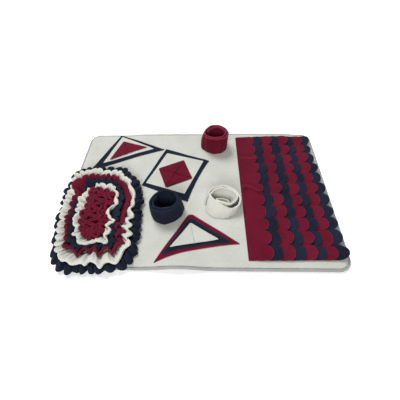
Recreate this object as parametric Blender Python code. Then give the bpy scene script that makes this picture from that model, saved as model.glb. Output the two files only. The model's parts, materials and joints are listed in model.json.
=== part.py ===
"""Dog activity mat: a padded fleece mat that carries eight rows of scalloped flaps, three folded
pockets, three rolled cups and an oval rosette of ruffled strips.

Metres, +Z up. The origin is the middle of the underside, on the floor. +X runs along the long side
towards the scalloped rows and +Y runs away from the front edge.
"""
import math

import bmesh
import bpy
from mathutils import Matrix, Vector
from mathutils.geometry import delaunay_2d_cdt

# Mat body
mat_width = 0.950
mat_depth = 0.614
mat_thick = 0.015
mat_corner_radius = 0.042
cover_thick = 0.002
rim_width = 0.009
rim_height = 0.008
rim_fillet = 0.0025
seam_step = 0.004
seam_roll = 0.007
layer_gap = 0.0003
corner_steps = 4
roll_steps = 3

# Soft hump where the mat was folded, rising towards the front edge
hump_height = 0.011
hump_centre_share = -0.116
hump_half_width = 0.115
hump_reach = 0.145
hump_stations = 12
hump_rows = 7
hump_panel_spacing = 0.018
grid_margin_share = 0.4

# Fleece and sewing
fleece_thick = 0.0020
slit_gap = 0.0006
flap_corner_cut = 0.0050

# Scalloped rows, set out from the mat's edges
row_count = 8
row_width = 0.077
rows_start_share = 0.3326
rows_right_margin = 0.0139
rows_front_margin = 0.0289
rows_back_margin = 0.0318
rows_turn = math.radians(0.7)
lobe_count = 11
lobe_depth = 0.0175
row_lay_gap = 0.0004
hinge_setback = 0.0042
first_row_seam = 0.010
lobe_segments = 6

# Back triangle pocket: place as shares of the mat's half sizes, fold as shares of the leg
back_triangle_apex_shares = (-0.720, 0.948)
back_triangle_leg = 0.210
back_triangle_opening = math.radians(89.0)
back_triangle_facing = math.radians(-68.0)
back_triangle_bow = -0.006
back_fold_setback_share = 0.216
back_fold_leg_share = 0.524
back_fold_towards = math.radians(-64.6)
back_fold_facing = math.radians(-64.0)

# Front triangle pocket, set out in the same way
front_triangle_apex_shares = (-0.055, -0.339)
front_triangle_leg = 0.209
front_triangle_opening = math.radians(84.0)
front_triangle_facing = math.radians(-77.5)
front_triangle_bow = 0.008
front_apex_radius = 0.020
front_fold_setback_share = 0.217
front_fold_leg_share = 0.526
front_fold_towards = math.radians(-83.7)
front_fold_facing = math.radians(-78.5)

# Opening of both folded triangles, and widths of border that show round each field
fold_opening = math.radians(90.0)
triangle_leg_border = 0.011
triangle_long_border = 0.015
square_border = 0.0125
bow_steps = 6

# Square pocket, set out by its two diagonals, with its fold as shares of half a diagonal
square_centre_shares = (-0.182, 0.237)
square_half_diagonal = 0.1395
square_diagonal_angles = (math.radians(27.1), math.radians(112.3))
fold_centre_shares = (-0.018, -0.009)
fold_half_diagonal_shares = (0.495, 0.523)
fold_diagonal_angles = (math.radians(-20.4), math.radians(66.6))

# Rolled cups: place on the mat, inner radius, share of that radius along Y, turns, rim height over
# the mat, angle where the band starts, fall of the rim and spread of the band at its outer end
cup_band_thick = 0.0045
cup_turn_gap = 0.0010
cup_turn_stations = 24
cup_shoulder_share = 0.5
cup_rim_flat_shares = (0.35, 0.65)
crimson_cup_centre_shares = (0.1465, 0.759)
crimson_cup_bore = 0.0355
crimson_cup_oval_share = 0.94
crimson_cup_turns = 2.05
crimson_cup_height = 0.0745
crimson_cup_start = math.radians(-135)
crimson_cup_drop = 0.030
crimson_cup_loose = 0.0050
crimson_cup_loose_from_share = 0.70
navy_cup_centre_shares = (-0.2135, -0.334)
navy_cup_bore = 0.0435
navy_cup_oval_share = 0.88
navy_cup_turns = 1.55
navy_cup_height = 0.072
navy_cup_start = math.radians(150)
navy_cup_drop = 0.012
navy_cup_loose = 0.0015
navy_cup_loose_from_share = 0.62
white_cup_centre_shares = (0.179, -0.240)
white_cup_bore = 0.0520
white_cup_oval_share = 0.93
white_cup_turns = 2.00
white_cup_height = 0.056
white_cup_start = math.radians(-48)
white_cup_drop = 0.030
white_cup_loose = 0.0015
white_cup_loose_from_share = 0.62

# Rosette: an oval backing that carries five ruffled rings and a core of two rings and a spine
rosette_centre_shares = (-0.695, -0.406)
rosette_half_width = 0.126
rosette_half_length = 0.167
rosette_side_pitch = 0.0170
rosette_end_pitch = 0.0155
rosette_backing_margin = 0.0040
rosette_squareness = 3.0
rosette_draw_share = 0.16
rosette_ring_count = 7
oval_samples = 720
ruffle_thick = 0.0045
ruffle_pitch = 0.030
ruffle_pitch_steps = 5
ruffle_least_waves = 4
ruffle_swing = 0.0060
ruffle_foot_swing_share = 0.2
ruffle_rise = 0.029
outer_ruffle_rise = 0.021
ruffle_side_flare = 0.003
ruffle_end_flare = 0.005
spine_half_length = 0.054
spine_swing = 0.0035
backing_segments = 40

# Fleece colours, linear, with roughness
off_white = ("off_white_fleece", (0.640, 0.650, 0.595), 0.92)
cream = ("cream_fleece", (0.735, 0.722, 0.652), 0.92)
crimson = ("crimson_fleece", (0.200, 0.012, 0.032), 0.90)
navy = ("navy_fleece", (0.0125, 0.0185, 0.0400), 0.90)
grey = ("grey_backing_cloth", (0.400, 0.410, 0.390), 0.85)
wadding = ("white_wadding", (0.800, 0.800, 0.780), 0.95)

half_width = mat_width / 2
half_depth = mat_depth / 2
deck = mat_thick + layer_gap
first_row_x = half_width * rows_start_share
row_pitch = (half_width - rows_right_margin - row_width - first_row_x) / (row_count - 1)
rows_middle_y = (rows_front_margin - rows_back_margin) / 2
lobe_width = (mat_depth - rows_front_margin - rows_back_margin) / lobe_count
round_over_angle = math.radians(50)
side_tolerance = 1e-6
point_tolerance = 1e-7


def on_mat(shares):
    """A place on the mat given as shares of its half sizes."""
    return Vector((half_width * shares[0], half_depth * shares[1]))


def heading(angle):
    return Vector((math.cos(angle), math.sin(angle)))


def smooth_share(share):
    """Runs from 0 to 1 with level ends."""
    share = min(max(share, 0.0), 1.0)
    return share * share * (3.0 - 2.0 * share)


def clear_scene():
    for thing in list(bpy.data.objects):
        bpy.data.objects.remove(thing, do_unlink=True)


def finish_of(kind):
    """The material of one kind of cloth, made once and then shared."""
    name, colour, roughness = kind
    material = bpy.data.materials.get(name)
    if material is None:
        material = bpy.data.materials.new(name)
        material.use_nodes = True
        shader = material.node_tree.nodes["Principled BSDF"]
        shader.inputs["Base Color"].default_value = (*colour, 1.0)
        shader.inputs["Roughness"].default_value = roughness
        shader.inputs["Metallic"].default_value = 0.0
    return material


def add_piece(name, bm, kind, pivot=(0.0, 0.0, 0.0), smooth=False):
    """Turn a bmesh in world places into an object whose origin is the pivot."""
    bmesh.ops.translate(bm, verts=bm.verts, vec=-Vector(pivot))
    mesh = bpy.data.meshes.new(name)
    bm.to_mesh(mesh)
    bm.free()
    mesh.materials.append(finish_of(kind))
    if smooth:
        mesh.shade_smooth()
        mesh.set_sharp_from_angle(angle=round_over_angle)
    piece = bpy.data.objects.new(name, mesh)
    piece.location = pivot
    bpy.context.collection.objects.link(piece)
    return piece


def lift(x, y):
    """Height of the soft hump: half a cosine wave across, a smooth ramp towards the front edge."""
    across = min(abs(x - half_width * hump_centre_share) / hump_half_width, 1.0)
    ramp = smooth_share((hump_reach - half_depth - y) / hump_reach)
    return hump_height * ramp * (1.0 + math.cos(math.pi * across)) / 2


def inside(point, outline):
    """True where a ray towards +X crosses the outline an odd number of times."""
    x, y = point
    crossed = False
    for (ax, ay), (bx, by) in zip(outline, outline[1:] + outline[:1]):
        if (ay > y) != (by > y) and x < ax + (bx - ax) * (y - ay) / (by - ay):
            crossed = not crossed
    return crossed


def edge_distance(point, outline):
    """Distance from a point to the nearest side of an outline."""
    nearest = None
    here = Vector(point)
    for start, end in zip(outline, outline[1:] + outline[:1]):
        side = Vector(end) - Vector(start)
        along = max(0.0, min(1.0, (here - Vector(start)).dot(side) / side.length_squared))
        away = (here - Vector(start) - side * along).length
        nearest = away if nearest is None else min(nearest, away)
    return nearest


def split_sides(outline, spacing):
    """The outline with points added so that no side is longer than the spacing."""
    points = []
    for (ax, ay), (bx, by) in zip(outline, outline[1:] + outline[:1]):
        steps = max(1, math.ceil(math.hypot(bx - ax, by - ay) / spacing - side_tolerance))
        points += [(ax + (bx - ax) * i / steps, ay + (by - ay) * i / steps) for i in range(steps)]
    return points


def grid_inside(outline, spacing):
    """Points of a square grid that lie well inside an outline."""
    xs = [x for x, y in outline]
    ys = [y for x, y in outline]
    points = []
    for row in range(1, math.ceil((max(ys) - min(ys)) / spacing)):
        for column in range(1, math.ceil((max(xs) - min(xs)) / spacing)):
            point = (min(xs) + column * spacing, min(ys) + row * spacing)
            if inside(point, outline) and edge_distance(point, outline) > spacing * grid_margin_share:
                points.append(point)
    return points


def triangulate(outline, extra):
    """Triangles, counter-clockwise, that fill an outline and use the extra points."""
    points = list(outline) + list(extra)
    sides = [(i, (i + 1) % len(outline)) for i in range(len(outline))]
    result = delaunay_2d_cdt([Vector(p) for p in points], sides, [], 1, point_tolerance)
    origin = [ids[0] for ids in result[3]]
    faces = []
    for face in result[2]:
        a, b, c = (Vector(points[origin[i]]) for i in face)
        corners = [origin[i] for i in face]
        faces.append(corners if (b - a).cross(c - a) > 0 else corners[::-1])
    return points, faces


def panel(name, outline, under, over, kind, pivot=(0.0, 0.0, 0.0), spacing=None):
    """A flat or gently curved piece of cloth between two heights given as functions of x and y."""
    extra = []
    if spacing:
        outline = split_sides(outline, spacing)
        extra = grid_inside(outline, spacing)
    points, faces = triangulate(outline, extra)
    bm = bmesh.new()
    low = [bm.verts.new((x, y, under(x, y))) for x, y in points]
    high = [bm.verts.new((x, y, over(x, y))) for x, y in points]
    for face in faces:
        bm.faces.new([low[i] for i in reversed(face)])
        bm.faces.new([high[i] for i in face])
    count = len(outline)
    for i in range(count):
        j = (i + 1) % count
        bm.faces.new((low[i], low[j], high[j], high[i]))
    return add_piece(name, bm, kind, pivot)


def lofted(name, rings, kind, humped=(False, False)):
    """A closed body through rings of equal count, the first filled facing down, the last facing up.

    A humped end is filled through extra points, so that it follows the hump between its edges.
    """
    bm = bmesh.new()
    layers = [[bm.verts.new(p) for p in ring] for ring in rings]
    count = len(rings[0])
    for lower, upper in zip(layers, layers[1:]):
        for i in range(count):
            j = (i + 1) % count
            bm.faces.new((lower[i], lower[j], upper[j], upper[i]))
    for end, follows, up in ((0, humped[0], False), (-1, humped[1], True)):
        flat = [(x, y) for x, y, z in rings[end]]
        inner = hump_points() if follows else []
        base = min(z for x, y, z in rings[end])
        faces = triangulate(flat, inner)[1]
        corners = layers[end] + [bm.verts.new((x, y, base + lift(x, y))) for x, y in inner]
        for face in faces:
            ordered = face if up else face[::-1]
            bm.faces.new([corners[i] for i in ordered])
    bmesh.ops.recalc_face_normals(bm, faces=bm.faces)
    return add_piece(name, bm, kind)


def hump_stations_x():
    """Even stations across the hump, from its left foot to its right one."""
    centre = half_width * hump_centre_share
    return [centre + hump_half_width * (2.0 * i / hump_stations - 1.0) for i in range(hump_stations + 1)]


def mat_outline(inset):
    """Rounded rectangle drawn in from the mat's edge, with points where the hump crosses the front."""
    corner = mat_corner_radius - inset
    across = half_width - mat_corner_radius
    deep = half_depth - mat_corner_radius
    front = [(x, inset - half_depth) for x in hump_stations_x()]
    points = []
    for middle_x, middle_y, first in ((-across, -deep, 180), (across, -deep, 270),
                                      (across, deep, 0), (-across, deep, 90)):
        for step in range(corner_steps + 1):
            angle = math.radians(first + 90.0 * step / corner_steps)
            points.append((middle_x + corner * math.cos(angle), middle_y + corner * math.sin(angle)))
        if first == 180:
            points += front
    return points


def mat_ring(inset, height, lifted):
    return [(x, y, height + (lift(x, y) if lifted else 0.0)) for x, y in mat_outline(inset)]


def roll_profile(inset, low, high, run):
    """Quarter of an ellipse that rises from a seam and turns level over the run."""
    steps = [math.pi / 2 * i / roll_steps for i in range(roll_steps + 1)]
    return [(inset + run * (1.0 - math.cos(a)), low + (high - low) * math.sin(a)) for a in steps]


def hump_points():
    """Points of the mat's upper skins that carry the hump's shape."""
    front = rim_width + seam_roll - half_depth
    return [(x, front + hump_reach * j / hump_rows) for x in hump_stations_x() for j in range(1, hump_rows)]


def build_mat():
    """Grey backing tray, wadding inside it and the off-white top cover that closes it."""
    rim_top = rim_height
    lofted("bottom_cover", [
        mat_ring(rim_fillet, 0.0, False),
        mat_ring(0.0, rim_fillet, False),
        mat_ring(0.0, rim_top - rim_fillet, True),
        mat_ring(rim_fillet, rim_top, True),
        mat_ring(rim_width, rim_top, True),
        mat_ring(rim_width, cover_thick, False),
    ], grey)

    pad_inset = rim_width + seam_roll
    pad_top = mat_thick - cover_thick - layer_gap
    pad_low = cover_thick + layer_gap
    lofted("padding", [
        mat_ring(pad_inset, pad_low, False),
        mat_ring(pad_inset - cover_thick, pad_low + cover_thick, False),
        mat_ring(pad_inset - cover_thick, pad_top - cover_thick, True),
        mat_ring(pad_inset, pad_top, True),
    ], wadding, (False, True))

    seam = rim_top + layer_gap
    outer = roll_profile(seam_step, seam, mat_thick, seam_roll)
    inner = roll_profile(seam_step + cover_thick, seam, mat_thick - cover_thick, seam_roll)
    rings = [mat_ring(i, z, True) for i, z in reversed(inner)] + [mat_ring(i, z, True) for i, z in outer]
    lofted("top_cover", rings, off_white, (True, True))


def row_start(row):
    return first_row_x + row_pitch * row


def row_hinge_x(row):
    """Where a row starts to lift: its seam on the first row, clear of the tips above on the others."""
    if row == 0:
        return row_start(0) + first_row_seam
    return row_start(row - 1) + row_width + hinge_setback


def row_heights(row):
    """Under and upper faces of a row, which climbs by one layer and its gap over each pitch."""
    climb = (fleece_thick + row_lay_gap) / row_pitch
    start = row_start(row)

    def under(x, y):
        return deck + climb * (x - start)

    def over(x, y):
        return deck + climb * (x - start) + fleece_thick

    return under, over


def scalloped_edge():
    """Points from the front notch to the back one: each lobe is an arc on a chord of one lobe width."""
    half_chord = lobe_width / 2
    radius = (half_chord ** 2 + lobe_depth ** 2) / (2 * lobe_depth)
    sweep = math.asin(half_chord / radius)
    front = rows_middle_y - lobe_width * lobe_count / 2
    points = []
    for lobe in range(lobe_count):
        middle = front + lobe_width * (lobe + 0.5)
        for step in range(lobe_segments + (lobe == lobe_count - 1)):
            angle = sweep * (2.0 * step / lobe_segments - 1.0)
            points.append((radius * math.cos(angle) - radius, middle + radius * math.sin(angle)))
    return points


def turn_with_rows(piece):
    """The whole block of rows lies turned a little about the middle of its first edge."""
    middle = Vector((first_row_x, rows_middle_y, 0.0))
    spin = Matrix.Rotation(rows_turn, 3, "Z")
    piece.location = middle + spin @ (piece.location - middle)
    piece.rotation_euler.z = rows_turn


def build_rows():
    """Eight overlapping strips: each has a sewn part and a scalloped flap that lifts about its hinge."""
    front = rows_middle_y - lobe_width * lobe_count / 2
    back = rows_middle_y + lobe_width * lobe_count / 2
    for row in range(row_count):
        colour, kind = ("crimson", crimson) if row % 2 == 0 else ("navy", navy)
        start, hinge = row_start(row), row_hinge_x(row)
        under, over = row_heights(row)
        label = f"scale_row_{row + 1}_{colour}"
        sewn = [(start, front), (hinge - slit_gap / 2, front), (hinge - slit_gap / 2, back), (start, back)]
        turn_with_rows(panel(f"{label}_sewn_edge", sewn, under, over, kind))
        tip = start + row_width
        flap = [(hinge + slit_gap / 2, front)]
        flap += [(tip + x, y) for x, y in scalloped_edge()]
        flap += [(hinge + slit_gap / 2, back)]
        pivot = (hinge, rows_middle_y, over(hinge, 0.0))
        turn_with_rows(panel(f"{label}_flap", flap, under, over, kind, pivot))


def inset_outline(outline, distances):
    """A convex outline, counter-clockwise, with each side moved inwards by its own distance."""
    count = len(outline)
    lines = []
    for i in range(count):
        start, end = Vector(outline[i]), Vector(outline[(i + 1) % count])
        along = (end - start).normalized()
        inward = Vector((-along.y, along.x))
        lines.append((start + inward * distances[i], along))
    corners = []
    for i in range(count):
        (p, u), (q, v) = lines[i - 1], lines[i]
        step = (q - p).cross(v) / u.cross(v)
        corners.append(tuple(p + u * step))
    return corners


def level(layer):
    """Under and upper faces of the given layer of cloth on the mat, following the hump."""
    low = deck + layer * (fleece_thick + layer_gap)

    def under(x, y):
        return low + lift(x, y)

    def over(x, y):
        return low + fleece_thick + lift(x, y)

    return under, over


def isosceles(apex, leg, facing, opening):
    """Apex, left and right corners, counter-clockwise, of a triangle that opens along facing."""
    corners = [apex] + [apex + leg * heading(facing + turn) for turn in (-opening / 2, opening / 2)]
    return [tuple(c) for c in corners]


def bowed(outline, side, bow):
    """The outline with one straight side bent into a shallow arc, bowed inwards by the given height."""
    start, end = Vector(outline[side]), Vector(outline[(side + 1) % len(outline)])
    along = (end - start).normalized()
    inward = Vector((-along.y, along.x))
    bend = []
    for i in range(1, bow_steps):
        share = i / bow_steps
        bend.append(tuple(start.lerp(end, share) + inward * bow * 4 * share * (1 - share)))
    return outline[:side + 1] + bend + outline[side + 1:]


def rounded_corner(outline, corner, radius):
    """The outline with one corner replaced by an arc that touches both of its sides."""
    here = Vector(outline[corner])
    before = (Vector(outline[corner - 1]) - here).normalized()
    after = (Vector(outline[(corner + 1) % len(outline)]) - here).normalized()
    half_angle = before.angle(after) / 2
    middle = here + (before + after).normalized() * (radius / math.sin(half_angle))
    first = here + before * (radius / math.tan(half_angle)) - middle
    start, sweep = math.atan2(first.y, first.x), math.pi - 2 * half_angle
    arc = [middle + radius * heading(start + sweep * i / corner_steps) for i in range(corner_steps + 1)]
    return outline[:corner] + [tuple(p) for p in arc] + outline[corner + 1:]


def blunted(outline, cut):
    """A triangle on its hinge side with both hinge corners cut off square to the hinge."""
    start, end, free = (Vector(corner) for corner in outline)
    along = (end - start).normalized()
    near = start + (free - start) * (cut / (free - start).dot(along))
    far = end + (free - end) * (cut / (end - free).dot(along))
    points = (start + along * cut, end - along * cut, far, free, near)
    return [tuple(point) for point in points]


def build_flap(name, hinge_start, hinge_end, free_corner, layer, kind, spacing=None):
    """A triangular flap: its fold is the hinge, and its other sides stand half a slit inside.

    Its two hinge corners are blunt, so that it clears the flap beside it when it lifts.
    """
    corners = [tuple(hinge_start), tuple(hinge_end), tuple(free_corner)]
    outline = blunted(inset_outline(corners, (0.0, slit_gap / 2, slit_gap / 2)), flap_corner_cut)
    under, over = level(layer)
    middle = (Vector(hinge_start) + Vector(hinge_end)) / 2
    pivot = (middle.x, middle.y, (over(*hinge_start) + over(*hinge_end)) / 2)
    panel(name, outline, under, over, kind, pivot, spacing)


def build_triangle_pocket(label, outer, bow, fold, kinds, apex_radius=None, spacing=None):
    """Border, field and folded pocket of one triangle. The pocket's flaps meet on its middle line."""
    border_kind, field_kind, fold_kind = kinds
    apex, leg, facing, opening = outer
    setback_share, towards, leg_share, fold_facing = fold
    outline = isosceles(apex, leg, facing, opening)
    field = inset_outline(outline, (triangle_leg_border, triangle_long_border, triangle_leg_border))
    outline, field = bowed(outline, 1, bow), bowed(field, 1, bow / 2)
    if apex_radius:
        outline = rounded_corner(outline, 0, apex_radius)
    panel(f"{label}_border", outline, *level(0), border_kind, spacing=spacing)
    panel(f"{label}_field", field, *level(1), field_kind, spacing=spacing)
    fold_apex = apex + leg * setback_share * heading(towards)
    top, left, right = isosceles(fold_apex, leg * leg_share, fold_facing, fold_opening)
    panel(f"{label}_pocket_base", [top, left, right], *level(2), fold_kind, spacing=spacing)
    foot = (Vector(left) + Vector(right)) / 2
    build_flap(f"{label}_flap_left", top, left, foot, 3, fold_kind, spacing)
    build_flap(f"{label}_flap_right", right, top, foot, 3, fold_kind, spacing)


def build_triangle_pockets():
    build_triangle_pocket(
        "back_triangle",
        (on_mat(back_triangle_apex_shares), back_triangle_leg, back_triangle_facing,
         back_triangle_opening), back_triangle_bow,
        (back_fold_setback_share, back_fold_towards, back_fold_leg_share, back_fold_facing),
        (navy, off_white, crimson))
    build_triangle_pocket(
        "front_triangle",
        (on_mat(front_triangle_apex_shares), front_triangle_leg, front_triangle_facing,
         front_triangle_opening), front_triangle_bow,
        (front_fold_setback_share, front_fold_towards, front_fold_leg_share, front_fold_facing),
        (crimson, navy, off_white), front_apex_radius, hump_panel_spacing)


def diagonal_corners(centre, halves, angles):
    """Corners, counter-clockwise, at the ends of two diagonals that cross at the centre."""
    first, second = (half * heading(angle) for half, angle in zip(halves, angles))
    return [tuple(centre + arm) for arm in (first, second, -first, -second)]


def build_square_pocket():
    """Square border and field with a folded pocket whose four corners meet in the middle."""
    half = square_half_diagonal
    centre = on_mat(square_centre_shares)
    border = diagonal_corners(centre, (half, half), square_diagonal_angles)
    field = inset_outline(border, (square_border,) * 4)
    panel("square_border", border, *level(0), navy)
    panel("square_field", field, *level(1), off_white)
    middle = centre + half * Vector(fold_centre_shares)
    fold = diagonal_corners(middle, [half * share for share in fold_half_diagonal_shares],
                            fold_diagonal_angles)
    panel("square_pocket_base", fold, *level(2), crimson)
    sides = ("back_right", "back_left", "front_left", "front_right")
    for i, side in enumerate(sides):
        build_flap(f"square_flap_{side}", fold[i], fold[(i + 1) % 4], middle, 3, crimson)


def build_cup(name, shares, bore, oval_share, turns, height, start, drop, loose, loose_from_share, kind):
    """A doubled band of fleece wound outwards into an open cup; the rim is rounded over.

    Over the last turns the rim falls and the band stands off, both along a smooth ramp.
    """
    centre = on_mat(shares)
    pitch = cup_band_thick + cup_turn_gap
    steps = round(turns * cup_turn_stations)
    sections = []
    for step in range(steps + 1):
        share = step / steps
        angle = start + 2 * math.pi * turns * share
        ramp = smooth_share((share - loose_from_share) / (1.0 - loose_from_share))
        inner = bore + pitch * turns * share + loose * ramp
        rim = deck + height - drop * ramp
        shoulder = rim - cup_band_thick * cup_shoulder_share
        near_share, far_share = cup_rim_flat_shares
        profile = ((0.0, deck), (1.0, deck), (1.0, shoulder), (far_share, rim), (near_share, rim),
                   (0.0, shoulder))
        section = []
        for across, z in profile:
            radius = inner + cup_band_thick * across
            x = centre.x + radius * math.cos(angle)
            y = centre.y + (radius - bore * (1.0 - oval_share)) * math.sin(angle)
            section.append((x, y, z))
        sections.append(section)
    bm = bmesh.new()
    rows = [[bm.verts.new(p) for p in section] for section in sections]
    for near, far in zip(rows, rows[1:]):
        for i in range(len(near)):
            j = (i + 1) % len(near)
            bm.faces.new((near[i], near[j], far[j], far[i]))
    bm.faces.new(list(reversed(rows[0])))
    bm.faces.new(rows[-1])
    bmesh.ops.recalc_face_normals(bm, faces=bm.faces)
    add_piece(name, bm, kind, smooth=True)
    print(f"{name}: least gap between turns {least_turn_gap(sections) * 1000:.2f} mm")


def least_turn_gap(sections):
    """Least level distance from the outer side of a turn to the inner side of the next one."""
    least = None
    for near in range(len(sections) - cup_turn_stations):
        outer = Vector(sections[near][1][:2])
        far = near + cup_turn_stations
        for i in range(max(near + cup_turn_stations // 2, far - 2), min(far + 2, len(sections) - 1)):
            start, end = Vector(sections[i][0][:2]), Vector(sections[i + 1][0][:2])
            side = end - start
            along = max(0.0, min(1.0, (outer - start).dot(side) / side.length_squared))
            away = (outer - start - side * along).length
            least = away if least is None else min(least, away)
    return least


def build_cups():
    build_cup("crimson_cup", crimson_cup_centre_shares, crimson_cup_bore, crimson_cup_oval_share,
              crimson_cup_turns, crimson_cup_height, crimson_cup_start, crimson_cup_drop,
              crimson_cup_loose, crimson_cup_loose_from_share, crimson)
    build_cup("navy_cup", navy_cup_centre_shares, navy_cup_bore, navy_cup_oval_share,
              navy_cup_turns, navy_cup_height, navy_cup_start, navy_cup_drop,
              navy_cup_loose, navy_cup_loose_from_share, navy)
    build_cup("cream_cup", white_cup_centre_shares, white_cup_bore, white_cup_oval_share,
              white_cup_turns, white_cup_height, white_cup_start, white_cup_drop,
              white_cup_loose, white_cup_loose_from_share, cream)


def oval_point(half_x, half_y, angle):
    """Point of a superellipse round the rosette's centre, drawn in towards its front left."""
    power = 2.0 / rosette_squareness
    cos, sin = math.cos(angle), math.sin(angle)
    across = math.copysign(abs(cos) ** power, cos)
    along = math.copysign(abs(sin) ** power, sin)
    draw = rosette_draw_share * max(-across, 0.0) * ((1.0 - along) / 2) ** 2
    return on_mat(rosette_centre_shares) + Vector((half_x * (across + draw), half_y * along))


def oval_points(half_x, half_y):
    return [oval_point(half_x, half_y, 2 * math.pi * i / oval_samples) for i in range(oval_samples)]


def oval_length(half_x, half_y):
    fine = oval_points(half_x, half_y)
    return sum((b - a).length for a, b in zip(fine, fine[1:] + fine[:1]))


def even_oval(half_x, half_y, count):
    """Points spaced evenly along a superellipse, counter-clockwise, with their outward directions."""
    fine = oval_points(half_x, half_y)
    lengths = [0.0]
    for a, b in zip(fine, fine[1:] + fine[:1]):
        lengths.append(lengths[-1] + (b - a).length)
    points = []
    i = 0
    for k in range(count):
        target = lengths[-1] * k / count
        while lengths[i + 1] < target:
            i += 1
        share = (target - lengths[i]) / (lengths[i + 1] - lengths[i])
        points.append(fine[i].lerp(fine[(i + 1) % oval_samples], share))
    pairs = []
    for k, point in enumerate(points):
        along = (points[(k + 1) % count] - points[k - 1]).normalized()
        pairs.append((point, Vector((along.y, -along.x))))
    return pairs


def ruffle_body(name, stations, rise, kind, closed):
    """Join the four-cornered sections of a ruffle, given as foot, top and outward triples."""
    foot = deck + fleece_thick + layer_gap
    bm = bmesh.new()
    rows = []
    for low, top, outward in stations:
        half = outward * ruffle_thick / 2
        row = [(*(low - half), foot), (*(low + half), foot), (*(top + half), foot + rise),
               (*(top - half), foot + rise)]
        rows.append([bm.verts.new(p) for p in row])
    pairs = list(zip(rows, rows[1:]))
    if closed:
        pairs.append((rows[-1], rows[0]))
    else:
        bm.faces.new(list(reversed(rows[0])))
        bm.faces.new(rows[-1])
    for near, far in pairs:
        for i in range(4):
            j = (i + 1) % 4
            bm.faces.new((near[i], near[j], far[j], far[i]))
    bmesh.ops.recalc_face_normals(bm, faces=bm.faces)
    add_piece(name, bm, kind, smooth=True)


def build_ring(name, place, rise, kind):
    """A doubled strip on edge round the rosette: its free edge swings in and out and leans out."""
    half_x = rosette_half_width - rosette_side_pitch * place
    half_y = rosette_half_length - rosette_end_pitch * place
    waves = max(ruffle_least_waves, round(oval_length(half_x, half_y) / ruffle_pitch))
    rings_inside = rosette_ring_count - 1 - place
    stations = []
    for k, (point, outward) in enumerate(even_oval(half_x, half_y, waves * ruffle_pitch_steps)):
        swing = ruffle_swing * math.sin(2 * math.pi * k / ruffle_pitch_steps)
        flare = rings_inside * (ruffle_side_flare * outward.x ** 2 + ruffle_end_flare * outward.y ** 2)
        low = point + outward * swing * ruffle_foot_swing_share
        stations.append((low, point + outward * (flare + swing), outward))
    ruffle_body(name, stations, rise, kind, True)


def build_spine(name, rise, kind):
    """The straight ruffle that fills the middle of the core."""
    count = round(2 * spine_half_length / ruffle_pitch) * ruffle_pitch_steps
    outward = heading(0.0)
    stations = []
    for k in range(count + 1):
        middle = on_mat(rosette_centre_shares)
        middle.y += spine_half_length * (2.0 * k / count - 1.0)
        swing = spine_swing * math.sin(2 * math.pi * k / ruffle_pitch_steps)
        low = middle + outward * swing * ruffle_foot_swing_share
        stations.append((low, middle + outward * swing, outward))
    ruffle_body(name, stations, rise, kind, False)


def build_rosette():
    """Oval backing with rings of ruffles, each drawn in by one pitch, and a spine in the middle."""
    margin = rosette_backing_margin
    pairs = even_oval(rosette_half_width + margin, rosette_half_length + margin, backing_segments)
    panel("rosette_backing", [tuple(p) for p, outward in pairs], *level(0), off_white)
    rings = (("ruffle_1_navy", navy), ("ruffle_2_cream", cream), ("ruffle_3_crimson", crimson),
             ("ruffle_4_navy", navy), ("ruffle_5_cream", cream), ("core_ruffle_outer", crimson),
             ("core_ruffle_inner", crimson))
    for place, (name, kind) in enumerate(rings):
        build_ring(name, place, outer_ruffle_rise if place == 0 else ruffle_rise, kind)
    build_spine("core_ruffle_spine", ruffle_rise, crimson)


def build():
    clear_scene()
    build_mat()
    build_rows()
    build_triangle_pockets()
    build_square_pocket()
    build_cups()
    build_rosette()


build()
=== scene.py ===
import math

import bmesh
import bpy
import numpy as np
from mathutils import Matrix, Vector
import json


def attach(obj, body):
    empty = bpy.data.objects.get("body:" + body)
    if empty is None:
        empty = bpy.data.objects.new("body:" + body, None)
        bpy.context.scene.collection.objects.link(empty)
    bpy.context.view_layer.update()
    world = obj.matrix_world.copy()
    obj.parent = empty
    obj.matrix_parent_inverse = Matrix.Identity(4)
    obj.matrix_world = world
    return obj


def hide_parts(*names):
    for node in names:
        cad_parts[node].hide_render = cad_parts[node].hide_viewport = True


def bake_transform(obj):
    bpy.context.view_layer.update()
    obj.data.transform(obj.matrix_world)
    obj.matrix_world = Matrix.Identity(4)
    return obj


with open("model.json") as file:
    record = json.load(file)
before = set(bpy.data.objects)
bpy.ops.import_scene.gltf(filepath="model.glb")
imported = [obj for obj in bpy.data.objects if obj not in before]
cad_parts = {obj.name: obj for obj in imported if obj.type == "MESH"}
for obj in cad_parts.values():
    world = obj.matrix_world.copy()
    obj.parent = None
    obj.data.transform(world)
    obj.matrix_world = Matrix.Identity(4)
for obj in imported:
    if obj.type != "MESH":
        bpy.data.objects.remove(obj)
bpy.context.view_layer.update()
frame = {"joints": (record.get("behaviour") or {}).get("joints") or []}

# Mat, in metres
mat_half = (0.475, 0.307)
mat_corner = 0.042
mat_thick = 0.015
cover_thick = 0.002
seam_inset = 0.0088
seam_height = 0.0098
puff_run = 0.015
rim_high = 0.0102
deck = 0.0153
layer_step = 0.0023
fleece = 0.0020
rim_roll = 0.0043
lip_height = 0.0091
# A corner of the mat's rings keeps its centre up to this inset, and the rings end near the middle line
corner_kept = 0.020
last_inset = mat_half[1] - 0.002
# Steps between the rings of the panel and of a patch
panel_step = 0.0042
patch_step = 0.0045
nap_depth = 0.00045

# Row of stitches inside a patch's edge, and how far the cloth swells within it
stitch_inset = 0.0034
stitch_dent = 0.00035
cloth_swell = 0.0005
flap_curl = 0.0024
# How far the square's border, field and folded cloth are drawn in to reach their middle
square_depths = (0.098, 0.086, 0.049)

# Soft hump at the front edge
hump_height = 0.013
hump_centre = -0.0551
hump_half_width = 0.115
hump_reach = 0.145

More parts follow.
